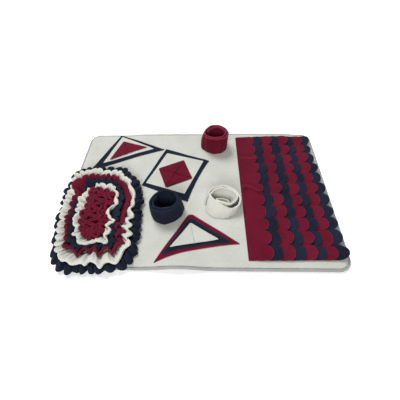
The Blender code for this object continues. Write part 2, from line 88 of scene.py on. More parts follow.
# The back edge lifts a little off the floor: how high, from where and over what run, and between
# which sides and over what run it fades
back_lift = 0.0055
back_lift_from, back_lift_run = 0.235, 0.072
back_lift_sides, back_lift_ease = (-0.32, 0.43), 0.09

# One corner is drawn in
draw_reach = 0.17
draw_corner = (0.030, 0.012)

# Gentle unevenness of the laid cloth: direction, wavelength, height and phase of each wave
ripple_waves = (
    (0.35, 0.190, 0.00050, 0.4),
    (1.30, 0.125, 0.00040, 2.1),
    (2.20, 0.083, 0.00026, 4.0),
    (0.85, 0.058, 0.00016, 5.2),
    (2.75, 0.151, 0.00040, 1.2),
)
# Soft creases of the mat: one end, other end, half width and height
creases = (
    ((-0.02, 0.300), (0.03, 0.120), 0.012, 0.0009),
    ((-0.13, -0.300), (-0.10, -0.120), 0.010, -0.0008),
    ((0.10, -0.300), (0.06, -0.180), 0.014, 0.0008),
)

row_count = 8
row_width = 0.077
row_first = 0.1580
row_pitch = 0.0323
row_middle = -0.00145
row_turn = math.radians(0.7)
row_lay_gap = 0.0004
lobe_count = 11
lobe_stations = 26
lobe_width = 0.0503
notch_depth = 0.0205
row_reach = (0.001, -0.001, 0.005, 0.004, 0.005, -0.001, 0.003, -0.001)

# Lift and lean of the curled lobe at the front right corner
curled_lobe = (0.0120, -0.0075)

# Soft folds of the wide first strip: the line each follows, its height, and its half width in front
# of the line and behind it
row_folds = (
    (((0.156, -0.002), (0.180, 0.003), (0.200, -0.006), (0.215, -0.020), (0.228, -0.032)),
     0.0150, 0.0040, 0.0110),
    (((0.160, 0.151), (0.232, 0.143)), 0.0075, 0.0026, 0.0070),
)

# Studio and camera, as fitted to the photograph
world_light = 0.24
white_backdrop = 1.02
floor_glow = 0.30
camera_lens = 23.037
camera_sensor = 36.0
camera_place = np.array((0.0322202, -0.5815730, 0.7636868))
camera_yaw = -0.0446519
camera_pitch = 0.9526438
camera_roll = -0.0341616

# The ruffles' edges were picked in two enlarged views of the square picture. Each view's top
# left corner is given in the picture's own pixels
picture_size = 400
picture_zoom = 1568 / 104
picture_corners = np.array(((44, 160), (44, 214)))


def smooth(share):
    """3 s squared - 2 s cubed of s held between 0 and 1."""
    share = np.clip(share, 0.0, 1.0)
    return share * share * (3.0 - 2.0 * share)


def placed(*coordinates):
    """Arrays of x, y and perhaps z put together as points."""
    return np.stack(coordinates, axis=-1)


def lift(x, y):
    """The front edge's hump, half a cosine wave across times a smooth ramp, and the raised back edge."""
    across = np.minimum(np.abs(x - hump_centre) / hump_half_width, 1.0)
    ramp = smooth((hump_reach - mat_half[1] - y) / hump_reach)
    left, right = back_lift_sides
    back = smooth((y - back_lift_from) / back_lift_run) * smooth((x - left) / back_lift_ease) \
        * smooth((right - x) / back_lift_ease)
    return hump_height * ramp * (1.0 + np.cos(math.pi * across)) / 2 + back_lift * back


def near_line(x, y, start, end):
    """Distance from points to a straight piece of line."""
    run = np.subtract(end, start)
    share = np.clip(((x - start[0]) * run[0] + (y - start[1]) * run[1]) / (run @ run), 0.0, 1.0)
    return np.hypot(x - start[0] - run[0] * share, y - start[1] - run[1] * share)


def ground(x, y):
    """Hump plus a sum of sine waves plus bell-shaped creases: all laid cloth follows this height."""
    height = lift(x, y)
    for angle, wave, size, phase in ripple_waves:
        along = x * math.cos(angle) + y * math.sin(angle)
        height = height + size * np.sin(2 * math.pi * along / wave + phase)
    for start, end, width, size in creases:
        height = height + size * np.exp(-(near_line(x, y, start, end) / width) ** 2)
    return height


def skin(name, grid, wrap_rows=False, wrap_columns=False, ends=None, edge=None):
    """A closed mesh over a grid of points.

    Each cell of the grid is a face. A wrapped direction joins its last line to its first. Ends are
    closed by a middle point ("poles"), or by faces between the two halves of an end line
    ("row_ladder", "column_ladder").
    """
    rows, columns = grid.shape[:2]
    points = grid.reshape(-1, 3)
    index = np.arange(rows * columns).reshape(rows, columns)
    full = np.vstack([index, index[:1]]) if wrap_rows else index
    full = np.hstack([full, full[:, :1]]) if wrap_columns else full
    faces = placed(full[:-1, :-1], full[:-1, 1:], full[1:, 1:], full[1:, :-1]).reshape(-1, 4).tolist()
    if ends == "poles":
        points = np.vstack([points, grid[0].mean(axis=0), grid[-1].mean(axis=0)])
        for line, pole in ((index[0], rows * columns), (index[-1], rows * columns + 1)):
            faces += placed(line, np.roll(line, -1), np.full(columns, pole)).tolist()
    if ends in ("row_ladder", "column_ladder"):
        for line in (index[0], index[-1]) if ends == "row_ladder" else (index[:, 0], index[:, -1]):
            half = len(line) // 2
            far = line[::-1]
            faces += placed(line[:half - 1], line[1:half], far[1:half], far[:half - 1]).tolist()
    mesh = bpy.data.meshes.new(name)
    mesh.from_pydata(points.tolist(), [], faces)
    bm = bmesh.new()
    bm.from_mesh(mesh)
    bmesh.ops.recalc_face_normals(bm, faces=bm.faces)
    bm.to_mesh(mesh)
    bm.free()
    mesh.polygons.foreach_set("use_smooth", np.ones(len(mesh.polygons), dtype=bool))
    # The 'edge' attribute carries painted highlight on cut edges, rims and fold crests, and random paler
    # tints of some lobes; the fleece shader turns the colour paler by it
    shade = np.zeros(len(points), dtype=np.float32)
    if edge is not None:
        shade[:rows * columns] = np.broadcast_to(edge, (rows, columns)).reshape(-1)
    mesh.attributes.new("edge", "FLOAT", "POINT").data.foreach_set("value", shade)
    piece = bpy.data.objects.new(name, mesh)
    bpy.context.scene.collection.objects.link(piece)
    return piece


def settle(piece, kind, *nodes, body="root", blend=None):
    """Give a piece its fleece and hide the CAD parts of the nodes it stands for; then parent it to its body,
    or, given a blend, bake its placement into its mesh.
    """
    slot, material = kind
    piece.data.materials.append(material)
    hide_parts(*nodes)
    if blend:
        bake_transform(piece)
    else:
        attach(piece, body)
    return piece


def declare(piece, long, wide, held, below, least=0.31, most=1.0):
    """Work out half the area of a piece's skin, held between two shares of its flat size; the result is not
    kept.
    """
    area = sum(face.area for face in piece.data.polygons) / 2
    max(least * long * wide, min(area, most * long * wide))


def line_length(line):
    """Length of an open line."""
    return float(np.linalg.norm(np.diff(line, axis=0), axis=-1).sum())


def wall_height(middle):
    """Mean height of a wall, measured along its middle surface from foot to rim."""
    return float(np.linalg.norm(np.diff(middle, axis=0), axis=-1).sum(axis=0).mean())


def evenly(line, count):
    """Points at equal steps along a closed line whose last point repeats its first."""
    length = np.concatenate([[0.0], np.cumsum(np.linalg.norm(np.diff(line, axis=0), axis=1))])
    target = length[-1] * np.arange(count) / count
    return placed(*(np.interp(target, length, column) for column in line.T))


def cubic(a, b, c, d, share):
    """Place between b and c on the cubic that four neighbouring points set."""
    return 0.5 * (2 * b + (c - a) * share + (2 * a - 5 * b + 4 * c - d) * share ** 2
                  + (3 * b - a - 3 * c + d) * share ** 3)


def closed_curve(points, count):
    """Smooth closed curve through points, in equal steps."""
    turn = np.arange(len(points) * 16) / 16
    first = turn.astype(int)
    fine = cubic(*(points[(first + step) % len(points)] for step in (-1, 0, 1, 2)), (turn - first)[:, None])
    return evenly(np.vstack([fine, fine[:1]]), count)


def open_curve(points, count):
    """Smooth line through points, with as many steps from each point to the next."""
    padded = np.vstack([2 * points[0] - points[1], points, 2 * points[-1] - points[-2]])
    turn = np.linspace(0.0, len(points) - 1, count)
    first = np.minimum(turn.astype(int), len(points) - 2)
    return cubic(*(padded[first + step] for step in range(4)), (turn - first)[:, None])


def softened(line, spread):
    """Open line smoothed by a bell curve whose half width is given in steps; its ends stay put."""
    reach = int(3 * spread)
    bell = np.exp(-0.5 * (np.arange(-reach, reach + 1) / spread) ** 2)
    longer = np.vstack([2 * line[0] - line[reach:0:-1], line, 2 * line[-1] - line[-2:-reach - 2:-1]])
    return placed(*(np.convolve(column, bell / bell.sum(), "valid") for column in longer.T))


def eased(values, spread):
    """Closed row of values smoothed by a bell curve whose half width is given in steps."""
    count = len(values)
    steps = np.minimum(np.arange(count), count - np.arange(count))
    bell = np.exp(-0.5 * (steps / spread) ** 2)
    spectrum = np.fft.fft(bell / bell.sum())
    smoothed = (np.fft.ifft(np.fft.fft(column) * spectrum).real for column in values.reshape(count, -1).T)
    return placed(*smoothed).reshape(values.shape)


def directions(vectors):
    """Vectors brought to unit length."""
    return vectors / np.maximum(np.linalg.norm(vectors, axis=-1, keepdims=True), 1e-12)


class Wire:
    """A shader socket that can be added to, multiplied and compared like a number."""

    def __init__(self, tree, socket):
        self.tree = tree
        self.socket = socket

    def node(self, kind, output=0, settings=None, **inputs):
        """Add any node, set its properties and inputs, and return one of its outputs as a wire."""
        made = self.tree.nodes.new(kind)
        for key, value in (settings or {}).items():
            setattr(made, key, value)
        for key, value in inputs.items():
            place = int(key[1:]) if key[0] == "i" and key[1:].isdigit() else key.replace("_", " ")
            target = made.inputs[place]
            if isinstance(value, Wire):
                self.tree.links.new(value.socket, target)
            else:
                target.default_value = value
        return Wire(self.tree, made.outputs[output])

    def maths(self, operation, a, b):
        return self.node("ShaderNodeMath", settings={"operation": operation}, i0=a, i1=b)

    def __add__(self, other):
        return self.maths("ADD", self, other)

    def __mul__(self, other):
        return self.maths("MULTIPLY", self, other)

    __radd__ = __add__
    __rmul__ = __mul__

    def larger(self, other):
        """The larger of two wires."""
        return self.maths("MAXIMUM", self, other)


def blank_material(name):
    """A new material, its node tree and its Principled shader."""
    material = bpy.data.materials.new(name)
    material.use_nodes = True
    return material, material.node_tree, material.node_tree.nodes["Principled BSDF"]


def fleece_material(name, low, high, highlight_and_tint_colour, sheen):
    """Brushed fleece: colour mottled by two sizes of cloud and by fibres, and turned paler by the 'edge'
    attribute, a painted highlight along cut edges, rims and fold crests that also carries random paler tints
    of some lobes.
    """
    material, tree, shader = blank_material(name)
    root = Wire(tree, None)
    spot = root.node("ShaderNodeTexCoord", output="Object")

    def noise(scale, detail):
        return root.node("ShaderNodeTexNoise", output="Fac", Vector=spot, Scale=scale, Detail=detail)

    def mixed(share, one, other):
        one, other = (part if isinstance(part, Wire) else (*part, 1.0) for part in (one, other))
        return root.node("ShaderNodeMix", output=2, settings={"data_type": "RGBA"},
                         i0=share, i6=one, i7=other)

    cloud, tuft, fibre = noise(16.0, 2.0), noise(150.0, 3.0), noise(900.0, 2.0)
    mottle = cloud * 0.45 + tuft * 0.35 + fibre * 0.20
    spread = root.node("ShaderNodeMapRange", output=0, i0=mottle, i1=0.36, i2=0.64, i3=0.0, i4=1.0)
    edge = root.node("ShaderNodeAttribute", output="Fac", settings={"attribute_name": "edge"})
    # Painted highlight: the colour turns paler where the 'edge' attribute is set, patchily by the tufts
    colour = mixed(edge * (0.35 + 0.65 * tuft), mixed(spread, low, high), highlight_and_tint_colour)
    nap_and_highlight = root.node("ShaderNodeBump", Strength=1.0, Distance=nap_depth, Height=tuft * 0.7 + fibre * 0.5)
    for place, wire in (("Base Color", colour), ("Roughness", 0.86 + 0.10 * fibre), ("Normal", nap_and_highlight)):
        tree.links.new(wire.socket, shader.inputs[place])
    for place, value in (("Sheen Weight", sheen), ("Sheen Roughness", 0.45), ("Specular IOR Level", 0.15)):
        shader.inputs[place].default_value = value
    return material


# Each fleece: darker and lighter mottle colours, the pale colour of its painted highlight (also used for
# random lobe tints), and its sheen weight
off_white = ("off_white_fleece", fleece_material(
    "off_white_nap", (0.520, 0.530, 0.480), (0.610, 0.620, 0.565), (0.70, 0.70, 0.65), 0.10))
cream = ("cream_fleece", fleece_material(
    "cream_nap", (0.570, 0.570, 0.512), (0.678, 0.680, 0.616), (0.74, 0.73, 0.68), 0.12))
crimson = ("crimson_fleece", fleece_material(
    "crimson_nap", (0.0920, 0.0022, 0.0125), (0.1480, 0.0048, 0.0225), (0.3100, 0.0360, 0.0760), 0.035))
navy = ("navy_fleece", fleece_material(
    "navy_nap", (0.0038, 0.0058, 0.0140), (0.0094, 0.0148, 0.0315), (0.0220, 0.0360, 0.0740), 0.03))
grey = ("grey_backing_cloth", fleece_material(
    "grey_nap", (0.330, 0.335, 0.315), (0.400, 0.405, 0.385), (0.45, 0.45, 0.43), 0.05))
wadding = ("white_wadding", fleece_material(
    "wadding_nap", (0.70, 0.70, 0.68), (0.80, 0.80, 0.78), (0.80, 0.80, 0.78), 0.10))


def mat_rings(insets, high_side, high_long):
    """Rounded rectangles drawn in from the mat's edge by each inset, as rows of plan points.

    Each row runs from the middle of the left side along the front to the middle of the right side,
    and back along the mirrored half. A corner keeps its centre until its arc is small, and then
    shrinks with the row.
    """
    wide, deep = mat_half[0] - insets, mat_half[1] - insets
    least = (mat_corner - corner_kept) / (mat_half[1] - corner_kept)
    corner = np.maximum(mat_corner - insets, deep * least)
    side = (np.arange(high_side)[None, :] + 0.5) / high_side
    arc = np.linspace(0.0, math.pi / 2, 15)[None, :]
    run = np.linspace(-1.0, 1.0, high_long + 2)[None, 1:-1]
    left_x = np.concatenate([-wide + 0 * side, -(wide - corner) - corner * np.cos(arc)], axis=1)
    left_y = np.concatenate([-(deep - corner) * side, -(deep - corner) - corner * np.sin(arc)], axis=1)
    x = np.concatenate([left_x, (wide - corner) * run, -left_x[:, ::-1]], axis=1)
    y = np.concatenate([left_y, -deep + 0 * run, left_y[:, ::-1]], axis=1)
    return np.concatenate([x, x[:, ::-1]], axis=1), np.concatenate([y, -y[:, ::-1]], axis=1)


def panel_height(insets, x, y):
    """The cover rises from its seam as (1 - (1 - s) squared) to the power 0.62, s being the way in."""
    share = np.clip((insets - seam_inset) / puff_run, 0.0, 1.0)
    rise = (1.0 - (1.0 - share) ** 2) ** 0.62
    pucker = 0.00045 * np.sin(x / 0.0052 + 1.7 * np.sin(y / 0.031)) \
        * np.sin(y / 0.0047 + 2.1 * np.sin(x / 0.043))
    near_seam = np.exp(-((insets - seam_inset) / 0.012) ** 2)
    return seam_height + (mat_thick - seam_height) * rise + pucker * near_seam


def loose(insets):
    """How far a ring of the mat follows the cloth's unevenness: not at all at the seam."""
    return smooth((insets - seam_inset) / 0.02 + 0.02)


def mat_cloth(name, kind, node, x, y, z):
    """A closed layer of the mat. The rosette's gathers pull its front left corner inwards."""
    pull = smooth(1.0 - np.hypot(x + mat_half[0], y + mat_half[1]) / draw_reach)
    grid = placed(x + draw_corner[0] * pull, y + draw_corner[1] * pull, z)
    return settle(skin(name, grid, wrap_columns=True, ends="row_ladder"), kind, node)


def build_mat():
    """Grey backing wrapped up round the rim, wadding in it and the puffy off-white panel on top."""
    by_seam = seam_inset + np.array([0.0, 0.0004, 0.0010, 0.0018, 0.0028, 0.0042, 0.006, 0.0085, 0.0115])
    below = np.concatenate([[last_inset], np.linspace(0.26, 0.03, 12), [0.020, 0.014, 0.0108]])
    above = np.concatenate([by_seam, np.arange(0.0240, mat_half[1] - 0.004, panel_step), [last_inset]])
    insets = np.concatenate([below, above])[:, None]
    x, y = mat_rings(insets, 62, 205)
    level = panel_height(insets, x, y)
    under = np.arange(len(insets))[:, None] < len(below)
    face = np.where(under, np.maximum(level - cover_thick, seam_height - 0.0009), level)
    z = face + ground(x, y) * loose(insets) + lift(x, y) * (1 - loose(insets))
    top = mat_cloth("top_cover_cloth", off_white, "top_cover", x, y, z)

    turn = np.linspace(-0.5 * math.pi, 0.66 * math.pi, 15)
    rim_z = rim_high / 2 + rim_high / 2 * np.sin(turn)
    insets = np.concatenate([[last_inset], np.linspace(0.26, 0.02, 8), rim_roll - rim_roll * np.cos(turn),
                             [seam_inset, 0.0120], np.linspace(0.03, 0.26, 8), [last_inset]])[:, None]
    heights = np.concatenate([np.zeros(9), rim_z, [lip_height], np.full(10, cover_thick)])[:, None]
    x, y = mat_rings(insets, 62, 205)
    wave = 0.0004 * np.sin(x / 0.011 + 1.3) * np.sin(y / 0.013 + 0.4) * (heights > 0.004)
    back = mat_cloth("bottom_cover_cloth", grey, "bottom_cover", x, y, heights + lift(x, y) + wave)

    insets = np.concatenate([[last_inset], np.linspace(0.25, 0.03, 8), [0.020, 0.0160, 0.0150, 0.0160, 0.020],
                             np.linspace(0.03, 0.25, 8), [last_inset]])[:, None]
    share = np.concatenate([np.zeros(9), [0.0, 0.2, 0.5, 0.8, 1.0], np.ones(9)])[:, None]
    x, y = mat_rings(insets, 30, 100)
    floor = cover_thick + 0.0004
    roof = panel_height(insets, x, y) - cover_thick - 0.0006
    z = floor + (roof - floor) * share + lift(x, y) + (ground(x, y) - lift(x, y)) * share * loose(insets)
    mat_cloth("wadding_fill", wadding, "padding", x, y, z)


def rounded_outline(corners, radii, count, bows=(0.0,) * 5):
    """Counter-clockwise outline with arcs at its corners and bowed sides, as evenly spaced points."""
    corners = np.asarray(corners, dtype=float)
    total = len(corners)
    arcs = []
    for i in range(total):
        before = directions(corners[i - 1] - corners[i])
        after = directions(corners[(i + 1) % total] - corners[i])
        half = math.acos(float(np.clip(before @ after, -1.0, 1.0))) / 2
        middle = corners[i] + directions(before + after) * radii[i] / math.sin(half)
        first = corners[i] + before * radii[i] / math.tan(half) - middle
        turn = math.atan2(first[1], first[0]) + np.linspace(0.0, math.pi - 2 * half, 9)
        arcs.append(middle + radii[i] * placed(np.cos(turn), np.sin(turn)))
    line = []
    share = np.linspace(0.0, 1.0, 26)[1:-1, None]
    for i in range(total):
        start, end = arcs[i][-1], arcs[(i + 1) % total][0]
        along = directions(end - start)
        inward = np.array([-along[1], along[0]])
        line += [arcs[i], start + (end - start) * share + inward * bows[i] * 4 * share * (1 - share)]
    return evenly(np.vstack(line + [arcs[0][:1]]), count)


def slab_profile(depth, step):
    """Insets and heights across half a piece of cloth, from the middle of its underside to the top.

    The edge is a half round. The top dips along the row of stitches and swells inside it.
    """
    turn = np.linspace(-math.pi / 2, math.pi / 2, 9)
    top = np.concatenate([[0.0016, 0.0024, 0.0032, 0.0040, 0.0050, 0.0065, 0.0085, 0.0115],
                          np.arange(0.0150, depth * 0.97, step)])
    sewn = -stitch_dent * np.exp(-((top - stitch_inset) / 0.0012) ** 2)
    top_height = fleece / 2 + sewn + cloth_swell * smooth((top - stitch_inset) / 0.012)
    low = np.array([depth * 0.97, depth * 0.6, depth * 0.3, 0.0060])
    inset = np.concatenate([low, fleece / 2 * (1.0 - np.cos(turn)), top])
    height = np.concatenate([np.full(len(low), -fleece / 2), fleece / 2 * np.sin(turn), top_height])
    # Painted highlight: full on the round edge, fading over the first millimetres of the top
    shade = np.concatenate([np.zeros(len(low)), np.ones(9), np.exp(-top / 0.0014)])
    return inset, height, shade


def inner_point(corners):
    """Centre of the circle that touches three sides of a triangle, or the mean of other corners."""
    corners = np.asarray(corners, dtype=float)
    if len(corners) != 3:
        return corners.mean(axis=0), None
    sides = np.array([np.linalg.norm(corners[2] - corners[1]), np.linalg.norm(corners[0] - corners[2]),
                      np.linalg.norm(corners[1] - corners[0])])
    centre = (corners * sides[:, None]).sum(axis=0) / sides.sum()
    area = abs(np.cross(corners[1] - corners[0], corners[2] - corners[0])) / 2
    return centre, 2 * area / sides.sum()


def rings_inwards(outline, centre, share):
    """Copies of an outline drawn in towards a point by each share of the way."""
    return centre + (outline - centre)[None] * (1.0 - share)[:, None, None]


def laid_cloth(name, kind, node, layer, outline, centre, profile, reach, below, most=1.0):
    """A flat piece of cloth that follows the ground: rings of its outline drawn in to its middle."""
    inset, height, shade = profile
    plan = rings_inwards(outline, centre, inset / reach)
    x, y = plan[..., 0], plan[..., 1]
    z = deck + layer * layer_step + fleece / 2 + height[:, None] + ground(x, y)
    piece = skin(name, placed(x, y, z), wrap_columns=True, ends="poles", edge=shade[:, None])
    declare(settle(piece, kind, node), *np.ptp(outline, axis=0), "laid", below, most=most)


def laid_patch(name, kind, node, layer, corners, radii, bows, count, depth, below):
    """A laid piece of cloth with three or four corners."""
    centre, reach = inner_point(corners)
    reach = reach or depth
    laid_cloth(name, kind, node, layer, rounded_outline(corners, radii, count, bows), centre,
               slab_profile(reach, patch_step), reach, below)


def folded_flap(name, kind, node, start, end, free, base):
    """A triangular flap with the fold that joins it to its pocket.

    Its flat pattern is a triangle on the hinge, with a short strip beyond the hinge. The strip wraps
    round a small circle under the flap, so that the cloth turns back on itself along the hinge.
    """
    length = np.linalg.norm(end - start)
    along = (end - start) / length
    inward = np.array([-along[1], along[0]])
    tip = np.array([(free - start) @ along, (free - start) @ inward])
    radius = layer_step / 2
    strip = math.pi * radius + 0.0008
    cut, slit = 0.0012, 0.0015
    side = tip[1] / tip[0] * cut, tip[1] / (length - tip[0]) * cut
    corners = [(cut, -strip), (length - cut, -strip), (length - cut, side[1]), (tip[0], tip[1] - slit),
               (cut, side[0])]
    outline = rounded_outline(corners, [0.0005, 0.0005, 0.0008, 0.0022, 0.0008], 200)
    centre, reach = inner_point([(0.0, -strip), (length, -strip), tip])
    inset, height, _ = slab_profile(reach, 0.0040)
    plan = rings_inwards(outline, centre, inset / reach)
    a, b = plan[..., 0], plan[..., 1]
    w = height[:, None] * np.ones_like(a)
    turn = np.clip(-b / radius, 0.0, math.pi)
    beyond = np.maximum(-b - math.pi * radius, 0.0)
    across = np.where(b > 0, b, -(radius + w) * np.sin(turn) + beyond)
    rise = np.where(b > 0, w, -radius + (radius + w) * np.cos(turn))
    curl = flap_curl * smooth((b / tip[1] - 0.55) / 0.45)
    x = start[0] + along[0] * a + inward[0] * across
    y = start[1] + along[1] * a + inward[1] * across
    z = deck + 3 * layer_step + fleece / 2 + rise + curl + ground(x, y)
    piece = skin(name, placed(x, y, z), wrap_columns=True, ends="poles")
    middle = (start + end) / 2
    low = deck + 2 * layer_step + fleece / 2 + float(ground(*middle))
    settle(piece, kind, node, body=f"{node}_body",
           blend=((*middle, low), (*(middle + inward * 0.003), low + layer_step)))
    declare(piece, length, tip[1] + strip, "folded", base)


def turned_in(corners, distance):
    """Counter-clockwise corners with every side moved inwards by a distance."""
    corners = np.asarray(corners, dtype=float)
    total = len(corners)
    result = []
    for i in range(total):
        u = directions(corners[i] - corners[i - 1])
        v = directions(corners[(i + 1) % total] - corners[i])
        p = corners[i - 1] + np.array([-u[1], u[0]]) * distance
        q = corners[i] + np.array([-v[1], v[0]]) * distance
        step = ((q - p)[0] * v[1] - (q - p)[1] * v[0]) / (u[0] * v[1] - u[1] * v[0])
        result.append(p + u * step)
    return result


# Each pocket: the kinds of its border, field and folded cloth; border and field as counter-clockwise
# corners, the corners' radii and how far each side bows inwards; and the folded cloth's corners,
# which are the ends of its flaps' hinges
pockets = {
    "back_triangle": (
        (navy, off_white, crimson),
        (((-0.34299, 0.29747), (-0.42750, 0.08700), (-0.14305, 0.20864)),
         (0.0015, 0.0015, 0.0012), (0.0, 0.003, 0.0)),
        (((-0.33563, 0.28558), (-0.38434, 0.12918), (-0.18828, 0.21058)),
         (0.0015,) * 3, (0.0,) * 3),
        ((-0.32254, 0.25006), (-0.35837, 0.14602), (-0.21850, 0.21424))),
    "square": (
        (navy, off_white, crimson),
        (((0.04220, 0.14256), (-0.13745, 0.21161), (-0.21232, 0.01700), (-0.03595, -0.05816)),
         (0.0015,) * 4, (0.0012, 0.0, 0.0, 0.0060)),
        (((0.01939, 0.13818), (-0.13043, 0.18382), (-0.19611, 0.02578), (-0.04827, -0.02426)),
         (0.0015,) * 4, (0.0,) * 4),
        ((-0.02424, 0.04743), (-0.05999, 0.13846), (-0.15368, 0.09557), (-0.11794, 0.00455))),
    "front_triangle": (
        (crimson, navy, off_white),
        (((-0.02692, -0.10463), (-0.13153, -0.28897), (0.14048, -0.22188)),
         (0.016, 0.0015, 0.0015), (0.0, 0.012, 0.0)),
        (((-0.02431, -0.12387), (-0.10847, -0.26531), (0.11105, -0.21763)),
         (0.011, 0.0015, 0.0015), (0.0, 0.008, 0.0)),
        ((-0.02115, -0.14915), (-0.08182, -0.24082), (0.07052, -0.20983))),
}


def build_pocket(label, kinds, border, field, fold):
    """Border, field, pocket base and flaps of one folded pocket.

    Border and field are each given as corners, radii of the corners and bows of the sides.
    """
    border_kind, field_kind, fold_kind = kinds
    cloths = [f"{label}_{part}_cloth" for part in ("border", "field", "pocket")]
    base = (turned_in(fold, 0.0021), (0.001,) * 4, (0.0,) * 4)
    laid_patch(cloths[0], border_kind, f"{label}_border", 0, *border, 300, square_depths[0],
               "top_cover_cloth")
    laid_patch(cloths[1], field_kind, f"{label}_field", 1, *field, 280, square_depths[1], cloths[0])
    laid_patch(cloths[2], fold_kind, f"{label}_pocket_base", 2, *base, 200, square_depths[2], cloths[1])
    fold = np.array(fold)
    if len(fold) == 3:
        top, left, right = fold
        foot = (left + right) / 2
        flaps = {"left": (top, left, foot), "right": (right, top, foot)}
    else:
        middle = (fold[0] + fold[2]) / 2
        flaps = {side: (fold[i], fold[(i + 1) % 4], middle)
                 for i, side in enumerate(("back_right", "back_left", "front_left", "front_right"))}
    for side, points in flaps.items():
        folded_flap(f"{label}_{side}_flap_cloth", fold_kind, f"{label}_flap_{side}", *points, cloths[2])


def strip_section(span):
    """Places across a strip and heights in its cloth for each span: top face, round edge, underside."""
    down = np.concatenate([[0.0, 0.02, 0.06], np.linspace(0.12, 0.60, 14), np.linspace(0.63, 0.985, 22)])
    back = np.array([0.985, 0.95, 0.9, 0.82, 0.7, 0.5, 0.3, 0.15, 0.0])
    turn = np.linspace(math.pi / 2, -math.pi / 2, 9)[:, None]
    straight = (span - fleece / 2)[None]
    across = np.concatenate([down[:, None] * straight, span[None] + fleece / 2 * (np.cos(turn) - 1.0),
                             back[:, None] * straight])
    level = np.concatenate([np.full((len(down), 1), 1.0), np.sin(turn), np.full((len(back), 1), -1.0)])
    return across, fleece / 2 * level


def fold_rise(x, y):
    """Rise of the first strip's soft folds, a bell across each line wider behind it, and a painted highlight
    along each fold's crest.
    """
    rise, crest_highlight = 0 * x, 0 * x
    for line, size, front_width, back_width in row_folds:
        along, over = zip(*line)
        past = y - np.interp(x, along, over)
        width = np.where(past < 0, front_width, back_width)
        taper = smooth((x - along[0]) / 0.020) * smooth((along[-1] + 0.012 - x) / 0.012)
        rise = rise + size * np.exp(-(past / width) ** 2) * taper
        # Painted highlight along the fold's crest
        crest_highlight = crest_highlight + 0.40 * np.exp(-((past + 0.0006) / 0.0022) ** 2) * taper
    return rise, crest_highlight


def build_rows():
    """Eight overlapping scalloped strips, each one piece.

    A lobe's free edge is depth times ((1 - |u| to the power 2.3) to the power 0.5 - 1) for u from -1
    to 1 across the lobe. Each lobe has its own reach, lift and lean, so that dark gaps open under it.
    """
    chance = np.random.default_rng(7)
    spot = np.arange(lobe_count * lobe_stations + 1) / lobe_stations
    lobe = np.minimum(spot.astype(int), lobe_count - 1)
    u = np.sin(math.pi / 2 * (2 * (spot - lobe) - 1))
    bend = np.sqrt(1.0 - np.abs(u) ** 2.3 + 1e-9) - 1.0
    crown = 1.0 - u ** 2
    spin = np.array([[math.cos(row_turn), -math.sin(row_turn)], [math.sin(row_turn), math.cos(row_turn)]])
    pivot = np.array([row_first, row_middle])
    ahead = np.array([spin[0, 0], spin[1, 0], 0.0])
    climb = (fleece + row_lay_gap) / row_pitch
    joints = {joint["child"]: joint for joint in frame["joints"]}
    for row in range(row_count):
        colour, kind = ("crimson", crimson) if row % 2 == 0 else ("navy", navy)
        label = f"scale_row_{row + 1}_{colour}"
        start = row_first + row_pitch * row
        jitter = np.concatenate([[0.0], chance.normal(0.0, 0.045, lobe_count - 1), [0.0]])
        borders = row_middle - lobe_width * lobe_count / 2 \
            + lobe_width * (np.arange(lobe_count + 1) + jitter)
        reach = chance.normal(0.0, 0.0022, lobe_count)[lobe] * crown
        lifts = 0.0028 + 0.0062 * chance.random(lobe_count) ** 1.4
        leans = chance.normal(0.0, 0.0016, lobe_count)
        tints = (0.30 if kind is navy else 0.12) * chance.random(lobe_count) ** 1.5 * (row > 0)
        if row == row_count - 1:
            lifts[0], leans[0] = curled_lobe
        span = start + row_width + row_reach[row] + notch_depth * bend + reach - start
        across, w = strip_section(span)
        x = start + across
        y = (borders[lobe] + (borders[lobe + 1] - borders[lobe]) * (u + 1) / 2)[None] + 0 * across
        free = smooth(1.0 - (row_width - across) / 0.030)
        dome = (lifts[lobe] * (0.25 + 0.75 * crown) + leans[lobe] * u)[None] * free
        rise, crest_highlight = fold_rise(x, y) if row == 0 else (0, 0)
        wave = 0.0005 * np.sin(y / 0.019 + 1.3 * row) * np.sin(across / 0.011 + row) * smooth(across / 0.03)
        # Painted highlight along each lobe's cut edge and each fold's crest, with random paler tints of some
        # lobes; only the top face gets it
        nap_and_highlight = np.maximum(np.exp(-(span[None] - across) / 0.0011), tints[lobe][None] + crest_highlight)
        plan = placed(x, y) @ spin.T + pivot - pivot @ spin.T
        x, y = plan[..., 0], plan[..., 1]
        z = deck + fleece / 2 + climb * across + w + (dome + rise) + wave + ground(x, y)
        piece = skin(f"{label}_strip", placed(x, y, z), wrap_rows=True, ends="column_ladder",
                     edge=np.where(w > -fleece / 4, nap_and_highlight, 0.0))
        node = f"{label}_flap"
        anchor = np.array(joints[f"{node}_body"]["pos_m"])
        settle(piece, kind, node, f"{label}_sewn_edge", body=f"{node}_body",
               blend=(tuple(anchor - ahead * 0.001), tuple(anchor + ahead * 0.009)))
        declare(piece, row_width, lobe_width * lobe_count, "laid", "top_cover_cloth")


